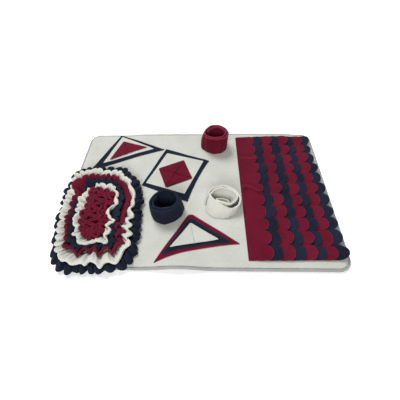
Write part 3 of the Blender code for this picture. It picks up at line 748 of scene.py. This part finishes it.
def offset_walls(middle, thick, rim_rows, wrap):
    """Closed cross-sections round a wall given by its middle surface, from foot to rim.

    The wall's outer face goes up, a rounded rim closes it and its inner face comes down. The rim
    has a shallow groove between the two layers of the folded fleece. On the hollow side of a bend
    the wall is thinner, so that it never passes through itself.
    """
    up = np.gradient(middle, axis=0)
    if wrap:
        ahead, behind = np.roll(middle, -1, axis=1), np.roll(middle, 1, axis=1)
        first, second = (ahead - behind) / 2, ahead + behind - 2 * middle
    else:
        first = np.gradient(middle, axis=1)
        second = np.gradient(first, axis=1)
    normal = directions(np.cross(first, up))
    cross = first[..., 0] * second[..., 1] - first[..., 1] * second[..., 0]
    bend = cross / np.maximum(np.linalg.norm(first[..., :2], axis=-1), 1e-6) ** 3
    half = np.broadcast_to(np.asarray(thick) / 2, bend.shape)
    right, left = (np.minimum(half, hollow_share / np.maximum(side * bend, 1e-3)) for side in (-1, 1))
    if wrap:
        right, left = eased(right.T, 2.0).T, eased(left.T, 2.0).T
    right, left = right[..., None], left[..., None]
    across = np.array([side for side, _ in rim_rows])[:, None, None]
    over = np.array([height for _, height in rim_rows])[:, None, None]
    top, top_normal, top_up = middle[-1], normal[-1], directions(up[-1])
    beside = top_normal[None] * across * np.where(across > 0, right[-1][None], left[-1][None])
    rim = top[None] + beside + top_up[None] * over * (right[-1] + left[-1])[None] / 2
    return np.concatenate([middle + normal * right, rim, (middle - normal * left)[::-1]])


hollow_share = 0.85
plain_half = ((0.98, 0.22), (0.90, 0.48), (0.72, 0.72), (0.42, 0.92), (0.15, 0.99))
plain_rim = (*plain_half, (0.0, 1.0), *((-side, high) for side, high in plain_half[::-1]))
grooved_half = ((0.97, 0.30), (0.84, 0.62), (0.60, 0.80), (0.34, 0.72), (0.12, 0.48))
grooved_rim = (*grooved_half, (0.0, 0.36), *((-side, high) for side, high in grooved_half[::-1]))
# Painted highlight across the rim's rows, weaker in its groove
rim_highlight = np.array([0.5, 0.8, 1.0, 0.9, 0.5, 0.3, 0.5, 0.9, 1.0, 0.8, 0.5])


def wall_highlight(rows):
    """Painted highlight at the rim, none on the faces, for a wall with this many rows on each face."""
    face = np.concatenate([np.zeros(rows - 2), [0.12, 0.35]])
    return np.concatenate([face, rim_highlight, face[::-1]])[:, None]


def round_ends(from_end, reach):
    """Share of its full thickness that a band has near its ends: a quarter circle over a short reach."""
    return np.sqrt(1.0 - (1.0 - np.clip(from_end / reach, 0.12, 1.0)) ** 2)


def band(name, kind, node, middle, thick, highlight_share):
    """An open band of doubled cloth over its middle surface, with a grooved rim and round ends."""
    # Its rim gets the painted highlight, scaled by its share
    piece = skin(name, offset_walls(middle, thick, grooved_rim, False), wrap_rows=True, ends="column_ladder",
                 edge=highlight_share * wall_highlight(len(middle)))
    return settle(piece, kind, node)


# Each cup is one doubled band, wound up. Along it, six numbers at a time and in millimetres: the middle
# of its rim (x, y and height), the middle of its foot (x, y) and how far it bellies outwards between them
cup_thick = 0.0047
cup_bands = {
    "crimson_cup": (crimson, (
        25, 211, 84, 25, 205, 0, 33, 200, 87, 36, 194, 1, 45, 193, 90, 50, 187, 1, 62, 189, 90, 64, 184, 1,
        82, 188, 90, 83, 185, 1, 99, 194, 90, 99, 194, 1, 110, 204, 90, 109, 206, 1,
        116, 219, 90, 113, 222, 1, 115, 234, 89, 113, 240, 1, 109, 249, 88, 105, 256, 1,
        98, 261, 88, 91, 268, 1, 82, 271, 88, 71, 273, 1, 66, 274, 88, 49, 270, 2, 51, 270, 88, 30, 262, 3,
        36, 258, 87, 16, 250, 4, 26, 243, 86, 11, 236, 5, 24, 228, 86, 11, 219, 5, 30, 214, 87, 20, 207, 3,
        42, 205, 88, 41, 201, 0, 59, 199, 88, 60, 196, 0, 77, 199, 88, 78, 197, 0, 93, 204, 88, 93, 204, 0,
        104, 216, 88, 102, 216, 0, 108, 230, 88, 105, 232, 0, 103, 243, 88, 100, 247, 0,
        93, 255, 88, 88, 258, 0, 80, 264, 87, 70, 262, 0, 66, 264, 86, 52, 258, 0, 53, 260, 85, 38, 247, 0,
        42, 250, 84, 32, 233, 0, 34, 240, 82, 33, 221, 0)),
    "navy_cup": (navy, (
        -134, -78, 78, -138, -88, 0, -143, -92, 80, -149, -102, 0, -145, -108, 82, -150, -118, 1,
        -140, -120, 83, -142, -131, 2, -128, -129, 84, -128, -139, 2, -112, -132, 84, -110, -142, 2,
        -95, -131, 84, -92, -139, 2, -79, -125, 85, -75, -130, 2, -67, -113, 85, -63, -115, 2,
        -62, -98, 85, -57, -97, 1, -64, -82, 85, -62, -84, 0, -73, -69, 84, -78, -78, 0,
        -87, -59, 84, -96, -76, 0, -104, -55, 83, -116, -78, 0, -122, -59, 83, -136, -83, 0,
        -138, -71, 82, -152, -93, 1, -150, -87, 81, -158, -108, 3, -154, -104, 80, -153, -124, 4,
        -151, -119, 80, -142, -137, 3, -141, -132, 80, -128, -146, 2, -126, -138, 80, -112, -150, 2,
        -109, -140, 81, -96, -147, 2, -92, -138, 82, -80, -140, 2, -76, -131, 83, -65, -129, 2,
        -63, -118, 84, -54, -114, 2, -56, -103, 84, -49, -97, 2, -55, -87, 84, -49, -80, 1)),
    "cream_cup": (cream, (
        82, -74, 26, 83, -72, 0, 95, -79, 25, 94, -77, 0, 107, -74, 26, 105, -73, 0,
        110, -65, 27, 108, -66, 0, 103, -58, 29, 102, -60, 0, 90, -56, 32, 90, -58, 0,
        77, -58, 38, 78, -60, 0, 67, -66, 47, 70, -67, 0, 66, -77, 55, 69, -75, 0, 76, -85, 59, 78, -83, 0,
        89, -90, 60, 90, -87, 0, 101, -95, 60, 102, -87, 0, 115, -95, 60, 113, -82, 0,
        128, -85, 60, 120, -74, 0, 136, -70, 60, 121, -65, 0, 137, -58, 60, 120, -56, 0,
        129, -44, 60, 113, -49, 0, 114, -37, 60, 103, -46, 0, 101, -29, 60, 89, -44, 0,
        87, -27, 60, 74, -44, 0, 73, -30, 60, 59, -44, 0, 60, -36, 60, 46, -47, 0, 50, -46, 60, 37, -57, 0,
        44, -57, 60, 32, -73, 1, 47, -67, 60, 30, -90, 2, 58, -76, 57, 35, -106, 3, 73, -86, 53, 50, -119, 4,
        87, -94, 50, 67, -126, 5, 101, -101, 47, 89, -127, 5, 114, -105, 45, 109, -121, 4,
        126, -104, 47, 126, -109, 3, 137, -98, 50, 140, -95, 2, 145, -87, 54, 149, -80, 2,
        147, -73, 57, 153, -63, 1, 142, -58, 60, 150, -43, 1, 131, -40, 61, 136, -23, 1,
        114, -28, 62, 114, -10, 1, 93, -20, 62, 90, -6, 1, 73, -22, 62, 63, -12, 1, 56, -30, 62, 43, -25, 1,
        44, -40, 62, 31, -41, 2, 39, -50, 62, 26, -56, 2, 39, -59, 61, 27, -70, 1)),
}


def build_cup(name, kind, keys):
    """A doubled band of fleece wound up: a wall from its foot line to its rim line.

    Each point of the wall is foot + (rim - foot) t, pushed outwards by 4 b t (1 - t) for its belly b,
    and by small sine waves that make the soft dents of limp cloth.
    """
    keys = np.reshape(keys, (-1, 6)) / 1000
    waves, stations = len(keys), len(keys) * 9
    line = softened(open_curve(keys, stations), 4.0)
    rim, foot, belly = line[:, :3], line[:, 3:5], line[:, 5]
    share = np.linspace(0.0, 1.0, stations)
    t = np.linspace(0.0, 1.0, 15)[:, None]
    along = directions(np.gradient(foot + (rim[:, :2] - foot) / 2, axis=0))
    outside = placed(along[:, 1], -along[:, 0])
    far = belly[None] * 4 * t * (1 - t)
    far = far + 0.0007 * np.sin(waves * 1.3 * share + 2.0 * t) * np.sin(math.pi * t) \
        + 0.0004 * np.sin(waves * 3.1 * share - 3.0 * t)
    plan = foot[None] + (rim[:, :2] - foot)[None] * t[..., None] + outside[None] * far[..., None]
    base = deck + 0.0006 + ground(plan[0, :, 0], plan[0, :, 1])
    top = rim[:, 2] - cup_thick * 0.4 + 0.0006 * np.sin(waves * 1.9 * share)
    middle = np.concatenate([plan, (base + (top - base) * (t + 0.12 * t * (1 - t)))[..., None]], axis=-1)
    ends = round_ends(np.minimum(share, 1.0 - share) * line_length(rim), cup_thick / 2)
    thick = cup_thick * (1.0 + 0.34 * smooth((t - 0.80) / 0.20)) * ends[None]
    # The navy cup gets less of the painted rim highlight
    piece = band(f"{name}_band", kind, name, middle, thick, 0.4 if kind is navy else 1.0)


def camera_turn():
    """The camera's right, upward and backward directions, from its yaw, pitch and roll."""
    right = Vector((math.cos(camera_yaw), -math.sin(camera_yaw), 0.0))
    level = math.cos(camera_pitch)
    ahead = Vector((math.sin(camera_yaw) * level, math.cos(camera_yaw) * level, -math.sin(camera_pitch)))
    up = right.cross(ahead)
    across = math.cos(camera_roll) * right + math.sin(camera_roll) * up
    over = -math.sin(camera_roll) * right + math.cos(camera_roll) * up
    return across, over, -ahead


def on_plan(stretches, level):
    """Plan points, in whole millimetres, where the camera's rays through picture points meet a level."""
    spots = np.vstack([np.reshape(stretch, (-1, 2)) / picture_zoom + picture_corners[place % 2]
                       for place, stretch in enumerate(stretches)])
    across, over, behind = np.array(camera_turn())
    sight = (spots - picture_size / 2) / (camera_lens / camera_sensor * picture_size)
    ray = sight[:, :1] * across - sight[:, 1:] * over - behind
    return np.round(1000 * (camera_place + ray * ((level - camera_place[2]) / ray[:, 2:]))[:, :2])


def on_skirt(plan, level):
    """Slide plan points of a level along the camera's rays until they lie on the skirt's edge."""
    spots, eye = plan, 1000 * camera_place[:2]
    for _ in range(30):
        high = skirt_height(*(spots / 1000).T, traced_hold)
        spots = eye + (plan - eye) * ((camera_place[2] - high) / (camera_place[2] - level))[:, None]
    return np.round(spots)


rosette_centre = np.array([-0.33013, -0.12464])
rosette_half = np.array([0.126, 0.167])
rosette_squareness = 3.0
rosette_draw = 0.16
ruffle_foot = deck + layer_step

# Free edges of the ruffles, clockwise: the height at which each was seen, and its points in the two
# enlarged views by turns, first the one of the rosette's back and then the one of its front
ruffle_edges = {
    "ruffle_1_navy": (
        0.034,
        (650, 135, 760, 118, 850, 112, 950, 118, 1040, 112, 1120, 125, 1180, 112, 1240, 130, 1290, 180,
         1330, 220, 1370, 250, 1410, 270, 1430, 320, 1450, 380, 1470, 420, 1455, 460, 1485, 490, 1490, 530,
         1470, 560, 1495, 590, 1497, 630, 1480, 680, 1440, 700, 1450, 740, 1470, 780, 1475, 850, 1455, 885),
        (1465, 80, 1440, 120, 1455, 150, 1465, 190, 1440, 220, 1420, 260, 1450, 290, 1465, 340, 1450, 370,
         1400, 400, 1385, 440, 1390, 480, 1410, 530, 1410, 590, 1370, 630, 1320, 700, 1310, 760, 1270, 800,
         1200, 830, 1090, 845, 1040, 870, 990, 885, 930, 865, 890, 865, 850, 900, 780, 907, 710, 900,
         660, 875, 620, 870, 590, 895, 545, 915, 510, 900, 470, 868, 440, 870, 400, 905, 350, 918, 320, 900,
         280, 865, 240, 860, 190, 830, 150, 780, 130, 720, 110, 690, 100, 620, 110, 560, 140, 500, 122, 430,
         130, 380, 165, 320, 170, 270, 158, 220, 165, 170, 180, 110),
        (170, 910, 180, 870, 210, 840, 215, 800, 235, 765, 275, 735, 280, 700, 270, 660, 275, 620, 290, 580,
         300, 530, 300, 480, 320, 440, 345, 400, 380, 370, 405, 335, 420, 270, 465, 205, 545, 165)),
    "ruffle_2_cream": (
        0.043,
        (418, 335, 437, 270, 480, 215, 548, 180, 620, 165, 700, 152, 790, 128, 860, 128, 915, 160, 1000, 165,
         1060, 158, 1130, 162, 1195, 190, 1212, 240, 1265, 268, 1322, 315, 1305, 370, 1350, 430, 1375, 490,
         1375, 560, 1362, 600, 1370, 640, 1365, 680, 1335, 712, 1305, 740, 1335, 780, 1362, 830, 1345, 868),
        (1268, 85, 1290, 115, 1340, 155, 1320, 185, 1265, 215, 1300, 250, 1345, 295, 1310, 325, 1250, 350,
         1265, 375, 1310, 425, 1300, 468, 1250, 500, 1210, 540, 1190, 590, 1160, 650, 1140, 690, 1110, 740,
         1060, 760, 1000, 745, 950, 725, 905, 750, 880, 790, 850, 825, 820, 825, 790, 790, 760, 750,
         720, 725, 685, 712, 650, 760, 620, 785, 580, 775, 560, 742, 480, 765, 420, 770, 360, 745, 335, 710,
         270, 715, 235, 700, 210, 670, 215, 620, 185, 590, 170, 540, 168, 460, 185, 390, 182, 320, 207, 270,
         188, 225, 215, 150, 247, 100, 240, 50),
        (245, 790, 262, 740, 290, 705, 292, 660, 300, 620, 328, 580, 335, 545, 350, 505, 385, 460, 398, 420,
         410, 380)),
    "ruffle_3_crimson": (
        0.043,
        (402, 400, 410, 370, 440, 320, 500, 290, 560, 265, 620, 235, 700, 215, 780, 212, 830, 218, 880, 235,
         960, 212, 1020, 235, 1080, 230, 1120, 250, 1170, 310, 1230, 340, 1265, 400, 1285, 470, 1325, 560,
         1320, 600, 1285, 640, 1298, 690, 1270, 735, 1245, 790, 1235, 835, 1225, 875),
        (1232, 105, 1190, 140, 1120, 165, 1100, 205, 1130, 235, 1200, 245, 1255, 272, 1200, 290, 1125, 310,
         1105, 345, 1130, 385, 1190, 405, 1240, 430, 1180, 450, 1130, 480, 1090, 520, 1060, 590, 1015, 628,
         990, 580, 965, 535, 930, 520, 890, 560, 850, 620, 805, 655, 780, 610, 768, 550, 740, 518, 712, 550,
         702, 600, 688, 622, 660, 580, 620, 540, 590, 540, 555, 575, 530, 625, 492, 662, 460, 610, 430, 560,
         390, 528, 340, 520, 300, 535, 272, 520, 290, 450, 310, 400, 300, 330, 315, 260, 300, 200, 320, 130,
         302, 60),
        (300, 880, 340, 830, 360, 780, 392, 740, 400, 700, 385, 660, 410, 610, 440, 560, 470, 510, 465, 460,
         440, 430)),
    "ruffle_4_navy": (
        0.042,
        (640, 300, 760, 290, 850, 285, 950, 290, 1040, 295, 1090, 315, 1130, 370, 1170, 420, 1200, 500,
         1215, 560, 1200, 640, 1160, 700, 1165, 740, 1150, 800, 1145, 850),
        (1130, 80, 1080, 150, 1050, 200, 1075, 250, 1130, 275, 1060, 300, 1045, 350, 1075, 400, 1060, 440,
         1010, 500, 985, 520, 930, 480, 870, 510, 830, 560, 790, 500, 740, 470, 690, 500, 660, 545, 600, 490,
         540, 520, 510, 580, 460, 520, 400, 480, 365, 440, 350, 380, 360, 300, 375, 200, 385, 100),
        (392, 860, 405, 800, 431, 740, 440, 690, 455, 640, 485, 590, 530, 540, 600, 480, 612, 430, 615, 370,
         628, 320)),
    "ruffle_5_cream": (
        0.043,
        (770, 385, 790, 362, 840, 350, 900, 360, 960, 365, 1020, 370, 1080, 400, 1075, 440, 1130, 490,
         1130, 530, 1100, 570, 1130, 620, 1115, 660, 1060, 690, 1020, 720, 990, 760, 990, 800, 1010, 840),
        (1030, 60, 1080, 98, 1050, 125, 970, 170, 960, 195, 1020, 240, 1000, 275, 940, 320, 930, 345,
         965, 410, 950, 445, 900, 455, 860, 430, 810, 420, 770, 430, 700, 445, 610, 465, 540, 455, 500, 425,
         475, 400, 500, 350, 430, 320, 420, 300, 460, 260, 470, 220, 465, 190, 440, 150, 430, 90, 450, 40),
        (465, 850, 485, 780, 485, 740, 500, 690, 525, 660, 515, 600, 525, 560, 570, 530, 615, 500, 645, 460,
         655, 425, 700, 412)),
    "core": (
        0.042,
        (700, 430, 770, 400, 850, 410, 910, 430, 990, 430, 1000, 480, 1090, 500, 1100, 530, 1020, 560,
         1010, 590, 1080, 640, 1060, 660, 990, 690, 950, 730, 940, 790, 950, 840),
        (980, 60, 990, 100, 930, 150, 905, 200, 940, 240, 890, 290, 880, 340, 830, 355, 760, 365, 690, 405,
         640, 355, 590, 345, 560, 300, 515, 260, 530, 210, 510, 150, 505, 90, 520, 50),
        (520, 860, 560, 800, 565, 740, 610, 700, 650, 660, 640, 620, 615, 590, 660, 530, 690, 480,
         670, 440)),
}

# Each ruffle's fleece, the height of its free edge over the ground, its thickness, how far its cloth sinks
# where the edge folds outwards (less than nothing: inwards), and the pitch, depth, width and least share
# of its folds. The outer one's height is worked out from where it lies
ruffle_ways = {
    "ruffle_1_navy": (navy, None, 0.0056, -1.0, 0.0290, 0.0115, 0.46, 0.85),
    "ruffle_2_cream": (cream, 0.043, 0.0072, 0.55, 0.0245, 0.0080, 0.34, 0.0),
    "ruffle_3_crimson": (crimson, 0.043, 0.0064, 0.20, 0.0245, 0.0088, 0.40, 0.10),
    "ruffle_4_navy": (navy, 0.042, 0.0062, -0.60, 0.0270, 0.0092, 0.44, 0.85),
    "ruffle_5_cream": (cream, 0.043, 0.0068, 0.55, 0.0245, 0.0070, 0.36, 0.25),
}
tuck = 0.0085
deep_fold = 0.0050
gather_pitch = 0.0085
rib_pitch = 0.0165
# Share of the painted rim highlight that dark ruffles get
ruffle_highlight_share = 0.15
# The picked points lie on the outer face of an edge, this far from its middle
edge_half = 0.0028
# Height at which the mat holds the skirt up, and the height taken for it when its edge was picked
skirt_hold = 0.0198
traced_hold = 0.0205
# Where less room than this is left before the next ring's edge, a free edge stays lower
least_room = 0.0120
# Direction of the rosette's sides that the camera sees well
near_side = np.array([0.78, -0.62])

# Rings of the core: piece, node that it stands for, how far its line lies inside the core's edge, how
# deep its pleats are and its height. Both are pleated alike, so that they nest
core_rings = (
    ("core_outer_ruffle", "core_ruffle_outer", 0.0068, 0.0062, 0.0425),
    ("core_inner_ruffle", "core_ruffle_inner", 0.0205, 0.0040, 0.0450),
)
core_pitch = 0.0285
core_thick = 0.0112
spine_room = (0.0270, 0.0290)
spine_high = 0.0295
spine_thick = 0.0132


def oval_place(half, angle):
    """Point of the rosette's oval: an oval with squared ends, drawn in towards its front left."""
    power = 2.0 / rosette_squareness
    cos, sin = np.cos(angle), np.sin(angle)
    across = np.sign(cos) * np.abs(cos) ** power
    along = np.sign(sin) * np.abs(sin) ** power
    draw = rosette_draw * np.maximum(-across, 0.0) * ((1.0 - along) / 2) ** 2
    return rosette_centre + placed(half[0] * (across + draw), half[1] * along)


def skirt_height(x, y, hold):
    """Height of the outer ruffle's free edge: high at the back, low in front, held up over the mat."""
    base = 0.011 + 0.015 * smooth((y + 0.290) / 0.100) + 0.004 * smooth((y + 0.020) / 0.080)
    inside = np.minimum(x + mat_half[0], y + mat_half[1])
    return base + np.maximum(0.0, hold - base) * smooth((inside - 0.002) / 0.014)


def outward_side(line, spread):
    """Directions square to an eased closed line, away from its middle."""
    along = directions(eased(np.roll(line, -1, axis=0) - np.roll(line, 1, axis=0), spread))
    beside = placed(along[:, 1], -along[:, 0])
    return beside if ((line - line.mean(axis=0)) * beside).sum() > 0 else -beside


def reach_of(line, angle):
    """Distance from the rosette's middle to a closed line in the given directions."""
    flat = line - rosette_centre
    own = np.arctan2(flat[:, 1], flat[:, 0]) % (2 * math.pi)
    order = np.argsort(own)
    return np.interp(angle % (2 * math.pi), own[order], np.linalg.norm(flat, axis=1)[order],
                     period=2 * math.pi)


def foot_under(crest, inner):
    """Foot of a ruffle: a little further in than the next ring's free edge, in the crest's direction."""
    flat = crest - rosette_centre
    angle = np.unwrap(np.arctan2(flat[:, 1], flat[:, 0]))
    around = 2 * math.pi * np.sign(angle[-1] - angle[0])
    trend = np.linspace(angle[0], angle[0] + around, len(angle) + 1)[:-1]
    turn = eased(angle - trend, 26) + trend
    own = eased(np.linalg.norm(flat, axis=1), 20)
    reach = np.maximum(np.minimum(reach_of(inner, turn) - tuck, own - 0.014), 0.003)
    return rosette_centre + placed(np.cos(turn), np.sin(turn)) * reach[:, None]


def turn_along(line):
    """How far round a closed line each of its points is, as an angle, and the line's whole length."""
    step = np.linalg.norm(np.roll(line, -1, axis=0) - line, axis=1)
    whole = float(step.sum())
    return 2 * math.pi * (np.cumsum(step) - step[0]) / whole, whole


def room_beyond(crest, inner):
    """How far a free edge reaches beyond the next ring's, eased."""
    flat = crest - rosette_centre
    return eased(np.linalg.norm(flat, axis=1) - reach_of(inner, np.arctan2(flat[:, 1], flat[:, 0])), 6)


def creased(crest, seed, pitch, size, narrow, least):
    """Draw narrow folds into a free edge, deeper on the sides that lie far from the camera.

    Each fold is a bell in sin(p / 2), where p runs on by one turn per fold with a drifting pitch. The
    least share of the depth is what the near sides get.
    """
    side = outward_side(crest, 30.0)
    turn, whole = turn_along(crest)
    phase = round(whole / pitch) * turn + 1.5 * np.sin(3 * turn + seed) + 1.1 * np.sin(7 * turn + 2 * seed)
    fold = np.exp(-(np.sin(phase / 2) / narrow) ** 2)
    depth = 0.75 + 0.30 * np.sin(5 * turn + seed) + 0.25 * np.sin(11 * turn + 3 * seed)
    hidden = least + (1 - least) * smooth(0.5 - 0.9 * (side @ near_side))
    wave = (0.22 * (1 - np.cos(phase)) - fold) * depth * hidden
    return crest + side * (size * wave)[:, None], wave


def ruffle(name, node, kind, crest, top, foot, thick, arch=0.0, wave=0.0, flare=1.35, grow=0.42,
           rim=grooved_rim, base=0.62, sink=0.55):
    """A folded strip from its foot out to its free edge, like a petal that flares outwards.

    Horizontally each point goes from the foot to the eased edge as a power of t, and the edge's own
    folds grow as a lower power of t. It rises as 1 - (1 - t) to the power 1.5, plus an arch, and
    sinks between foot and edge where the edge folds outwards. Small gathers and wider ribs run up it.
    """
    t = np.linspace(0.0, 1.0, 16)[:, None]
    calm = eased(crest, 26)
    side = outward_side(crest, 30.0)
    turn, whole = turn_along(crest)
    gathers = np.sin(round(whole / gather_pitch) * turn) * t * (1 - t) ** 1.5 * 4
    ribs = np.sin(round(whole / rib_pitch) * turn + 2.0 * np.sin(4 * turn))
    plan = foot + (calm - foot) * (t ** flare)[..., None] + (crest - calm) * (t ** grow)[..., None]
    plan = plan + side * (0.0009 * gathers)[..., None]
    own = np.clip(((crest - calm) * side).sum(axis=-1), -deep_fold, deep_fold)
    z = ruffle_foot + (top + 0.0016 * wave - ruffle_foot) * (1 - (1 - t) ** 1.5) + arch * 4 * t * (1 - t)
    z = z - (sink * own[None] + 0.0014 + 0.0016 * ribs[None]) * np.sin(math.pi * t ** 1.2) ** 1.5
    z = z + ground(plan[..., 0], plan[..., 1]) * (1 - t)
    middle = np.concatenate([plan, z[..., None]], axis=-1)
    width = thick * (base + (1 - base) * smooth((t - 0.45) / 0.5)) + 0 * z
    # Cream ruffles get the full painted rim highlight, dark ones a share of it
    highlight_share = 1.0 if kind is cream else ruffle_highlight_share
    piece = skin(name, offset_walls(middle, width, rim, True), wrap_rows=True, wrap_columns=True,
                 edge=highlight_share * wall_highlight(len(t)))
    declare(settle(piece, kind, node), whole, wall_height(middle) + thick, "gathered",
            "rosette_backing_cloth", most=0.999)


def build_rosette():
    """Oval backing, five traced ruffles and a packed core of two pleated rings round a spine."""
    turn = 2 * math.pi * np.arange(200) / 200
    laid_cloth("rosette_backing_cloth", off_white, "rosette_backing", 0,
               oval_place(rosette_half + 0.004, turn), rosette_centre, slab_profile(0.120, 0.010), 0.122,
               "top_cover_cloth", 0.999)
    lines = {}
    for label, (level, *stretches) in ruffle_edges.items():
        plan = on_plan(stretches, level)
        plan = on_skirt(plan, level) if label == "ruffle_1_navy" else plan
        line = eased(closed_curve(plan / 1000, 900), 3.0)
        lines[label] = line - outward_side(line, 3.0) * edge_half
    for place, (label, (kind, top, thick, sink, *fold)) in enumerate(ruffle_ways.items()):
        inner = lines[list(lines)[place + 1]]
        crest, wave = creased(lines[label], place * 1.7, *fold)
        if place == 0:
            top, arch = skirt_height(crest[:, 0], crest[:, 1], skirt_hold), 0.013
        else:
            top, arch = top - np.clip(least_room - room_beyond(lines[label], inner), 0.0, least_room), 0.0
        foot = foot_under(crest, eased(inner, 20))
        ruffle(f"{label}_strip", label, kind, crest, top, foot, thick, arch, wave, sink=sink)

    edge = eased(lines["core"], 14)
    side = outward_side(edge, 20.0)
    turn, whole = turn_along(edge)
    phase = round(whole / core_pitch) * turn + 0.8 * np.sin(3 * turn + 0.5) + 0.5 * np.sin(8 * turn)
    wave = np.tanh(1.5 * np.sin(phase)) * (1.0 + 0.25 * np.sin(5 * turn + 1.0))
    for name, node, inset, pleat, height in core_rings:
        line = edge - side * inset
        crest = line + side * (pleat * wave)[:, None]
        top = height + 0.0022 * np.sin(6 * turn + 300 * inset) + 0.0014 * np.sin(17 * turn + 500 * inset)
        ruffle(name, node, crimson, crest, top, eased(line, 20) - side * 0.003, core_thick,
               flare=1.0, grow=0.3, rim=plain_rim, base=1.15)
    build_spine(edge)


def build_spine(edge):
    """The strip that fills the middle of the core: a wavy line half way between the core's sides."""
    low, high = edge[:, 1].argmin(), edge[:, 1].argmax()
    walk = np.roll(edge, -low, axis=0)
    split = (high - low) % len(edge)
    s = np.linspace(-1.0, 1.0, 300)
    y = (edge[low, 1] + edge[high, 1]) / 2 + s * (np.ptp(edge[:, 1]) / 2 - spine_room[1])
    one, other = (np.interp(y, np.maximum.accumulate(run[:, 1]), run[:, 0])
                  for run in (walk[:split + 1], walk[split:][::-1]))
    room = np.clip(np.abs(other - one) / 2 - spine_room[0], 0.0035, 0.0140)
    rim = placed((one + other) / 2 + room * np.sin(14.0 * s + 0.6), y)
    t = np.linspace(0.0, 1.0, 12)[:, None]
    plan = rim[None] + 0 * t[..., None]
    high_here = spine_high + 0.0010 * np.sin(s * 17) + 0.0008 * np.sin(s * 47)
    z = ruffle_foot + high_here * t + 0 * plan[..., 0]
    long = line_length(rim)
    ends = round_ends((1 - np.abs(s)) * long / 2, 0.004)
    middle = np.concatenate([plan, z[..., None]], axis=-1)
    thick = spine_thick * (1.15 - 0.15 * t) * ends[None]
    piece = band("core_spine_ruffle", crimson, "core_ruffle_spine", middle, thick, ruffle_highlight_share)


def build_stage():
    """Pale floor, soft light from above and a camera where the photographer stood."""
    mesh = bpy.data.meshes.new("floor")
    mesh.from_pydata([(-30, -30, -0.0004), (30, -30, -0.0004), (30, 30, -0.0004), (-30, 30, -0.0004)], [],
                     [(0, 1, 2, 3)])
    floor = bpy.data.objects.new("floor", mesh)
    material, _, shader = blank_material("pale_floor")
    for place, value in (("Base Color", (0.90, 0.90, 0.90, 1.0)), ("Emission Color", (1.0, 1.0, 1.0, 1.0)),
                         ("Roughness", 0.9), ("Specular IOR Level", 0.0), ("Emission Strength", floor_glow)):
        shader.inputs[place].default_value = value
    mesh.materials.append(material)
    bpy.context.scene.collection.objects.link(floor)

    for name, place, size, power in (("key_light", (-1.6, 2.6, 4.6), 2.2, 225.0),
                                     ("front_light", (-0.8, -4.6, 3.2), 2.4, 180.0)):
        light = bpy.data.lights.new(name, "AREA")
        light.size = size
        light.energy = power
        lamp = bpy.data.objects.new(name, light)
        lamp.location = place
        lamp.rotation_euler = (-Vector(place)).to_track_quat("-Z", "Y").to_euler()
        bpy.context.scene.collection.objects.link(lamp)

    world = bpy.data.worlds.new("studio")
    bpy.context.scene.world = world
    world.use_nodes = True
    tree = world.node_tree
    path = tree.nodes.new("ShaderNodeLightPath")
    seen, glossy, through = (Wire(tree, path.outputs[f"Is {kind} Ray"])
                             for kind in ("Camera", "Glossy", "Transmission"))
    strength = world_light + seen.larger(glossy).larger(through) * (white_backdrop - world_light)
    tree.links.new(strength.socket, tree.nodes["Background"].inputs["Strength"])
    tree.nodes["Background"].inputs["Color"].default_value = (1.0, 1.0, 1.0, 1.0)

    lens = bpy.data.cameras.new("camera")
    lens.lens = camera_lens
    lens.sensor_width = camera_sensor
    lens.clip_start = 0.01
    camera = bpy.data.objects.new("camera", lens)
    camera.matrix_world = Matrix.Translation(camera_place) @ Matrix(camera_turn()).transposed().to_4x4()
    bpy.context.scene.collection.objects.link(camera)
    bpy.context.scene.camera = camera
    bpy.context.scene.view_settings.view_transform = "Standard"


build_stage()
build_mat()
build_rows()
for pocket_name, pocket in pockets.items():
    build_pocket(pocket_name, *pocket)
for cup_name, (cup_kind, cup_keys) in cup_bands.items():
    build_cup(cup_name, cup_kind, cup_keys)
build_rosette()

bpy.context.view_layer.update()
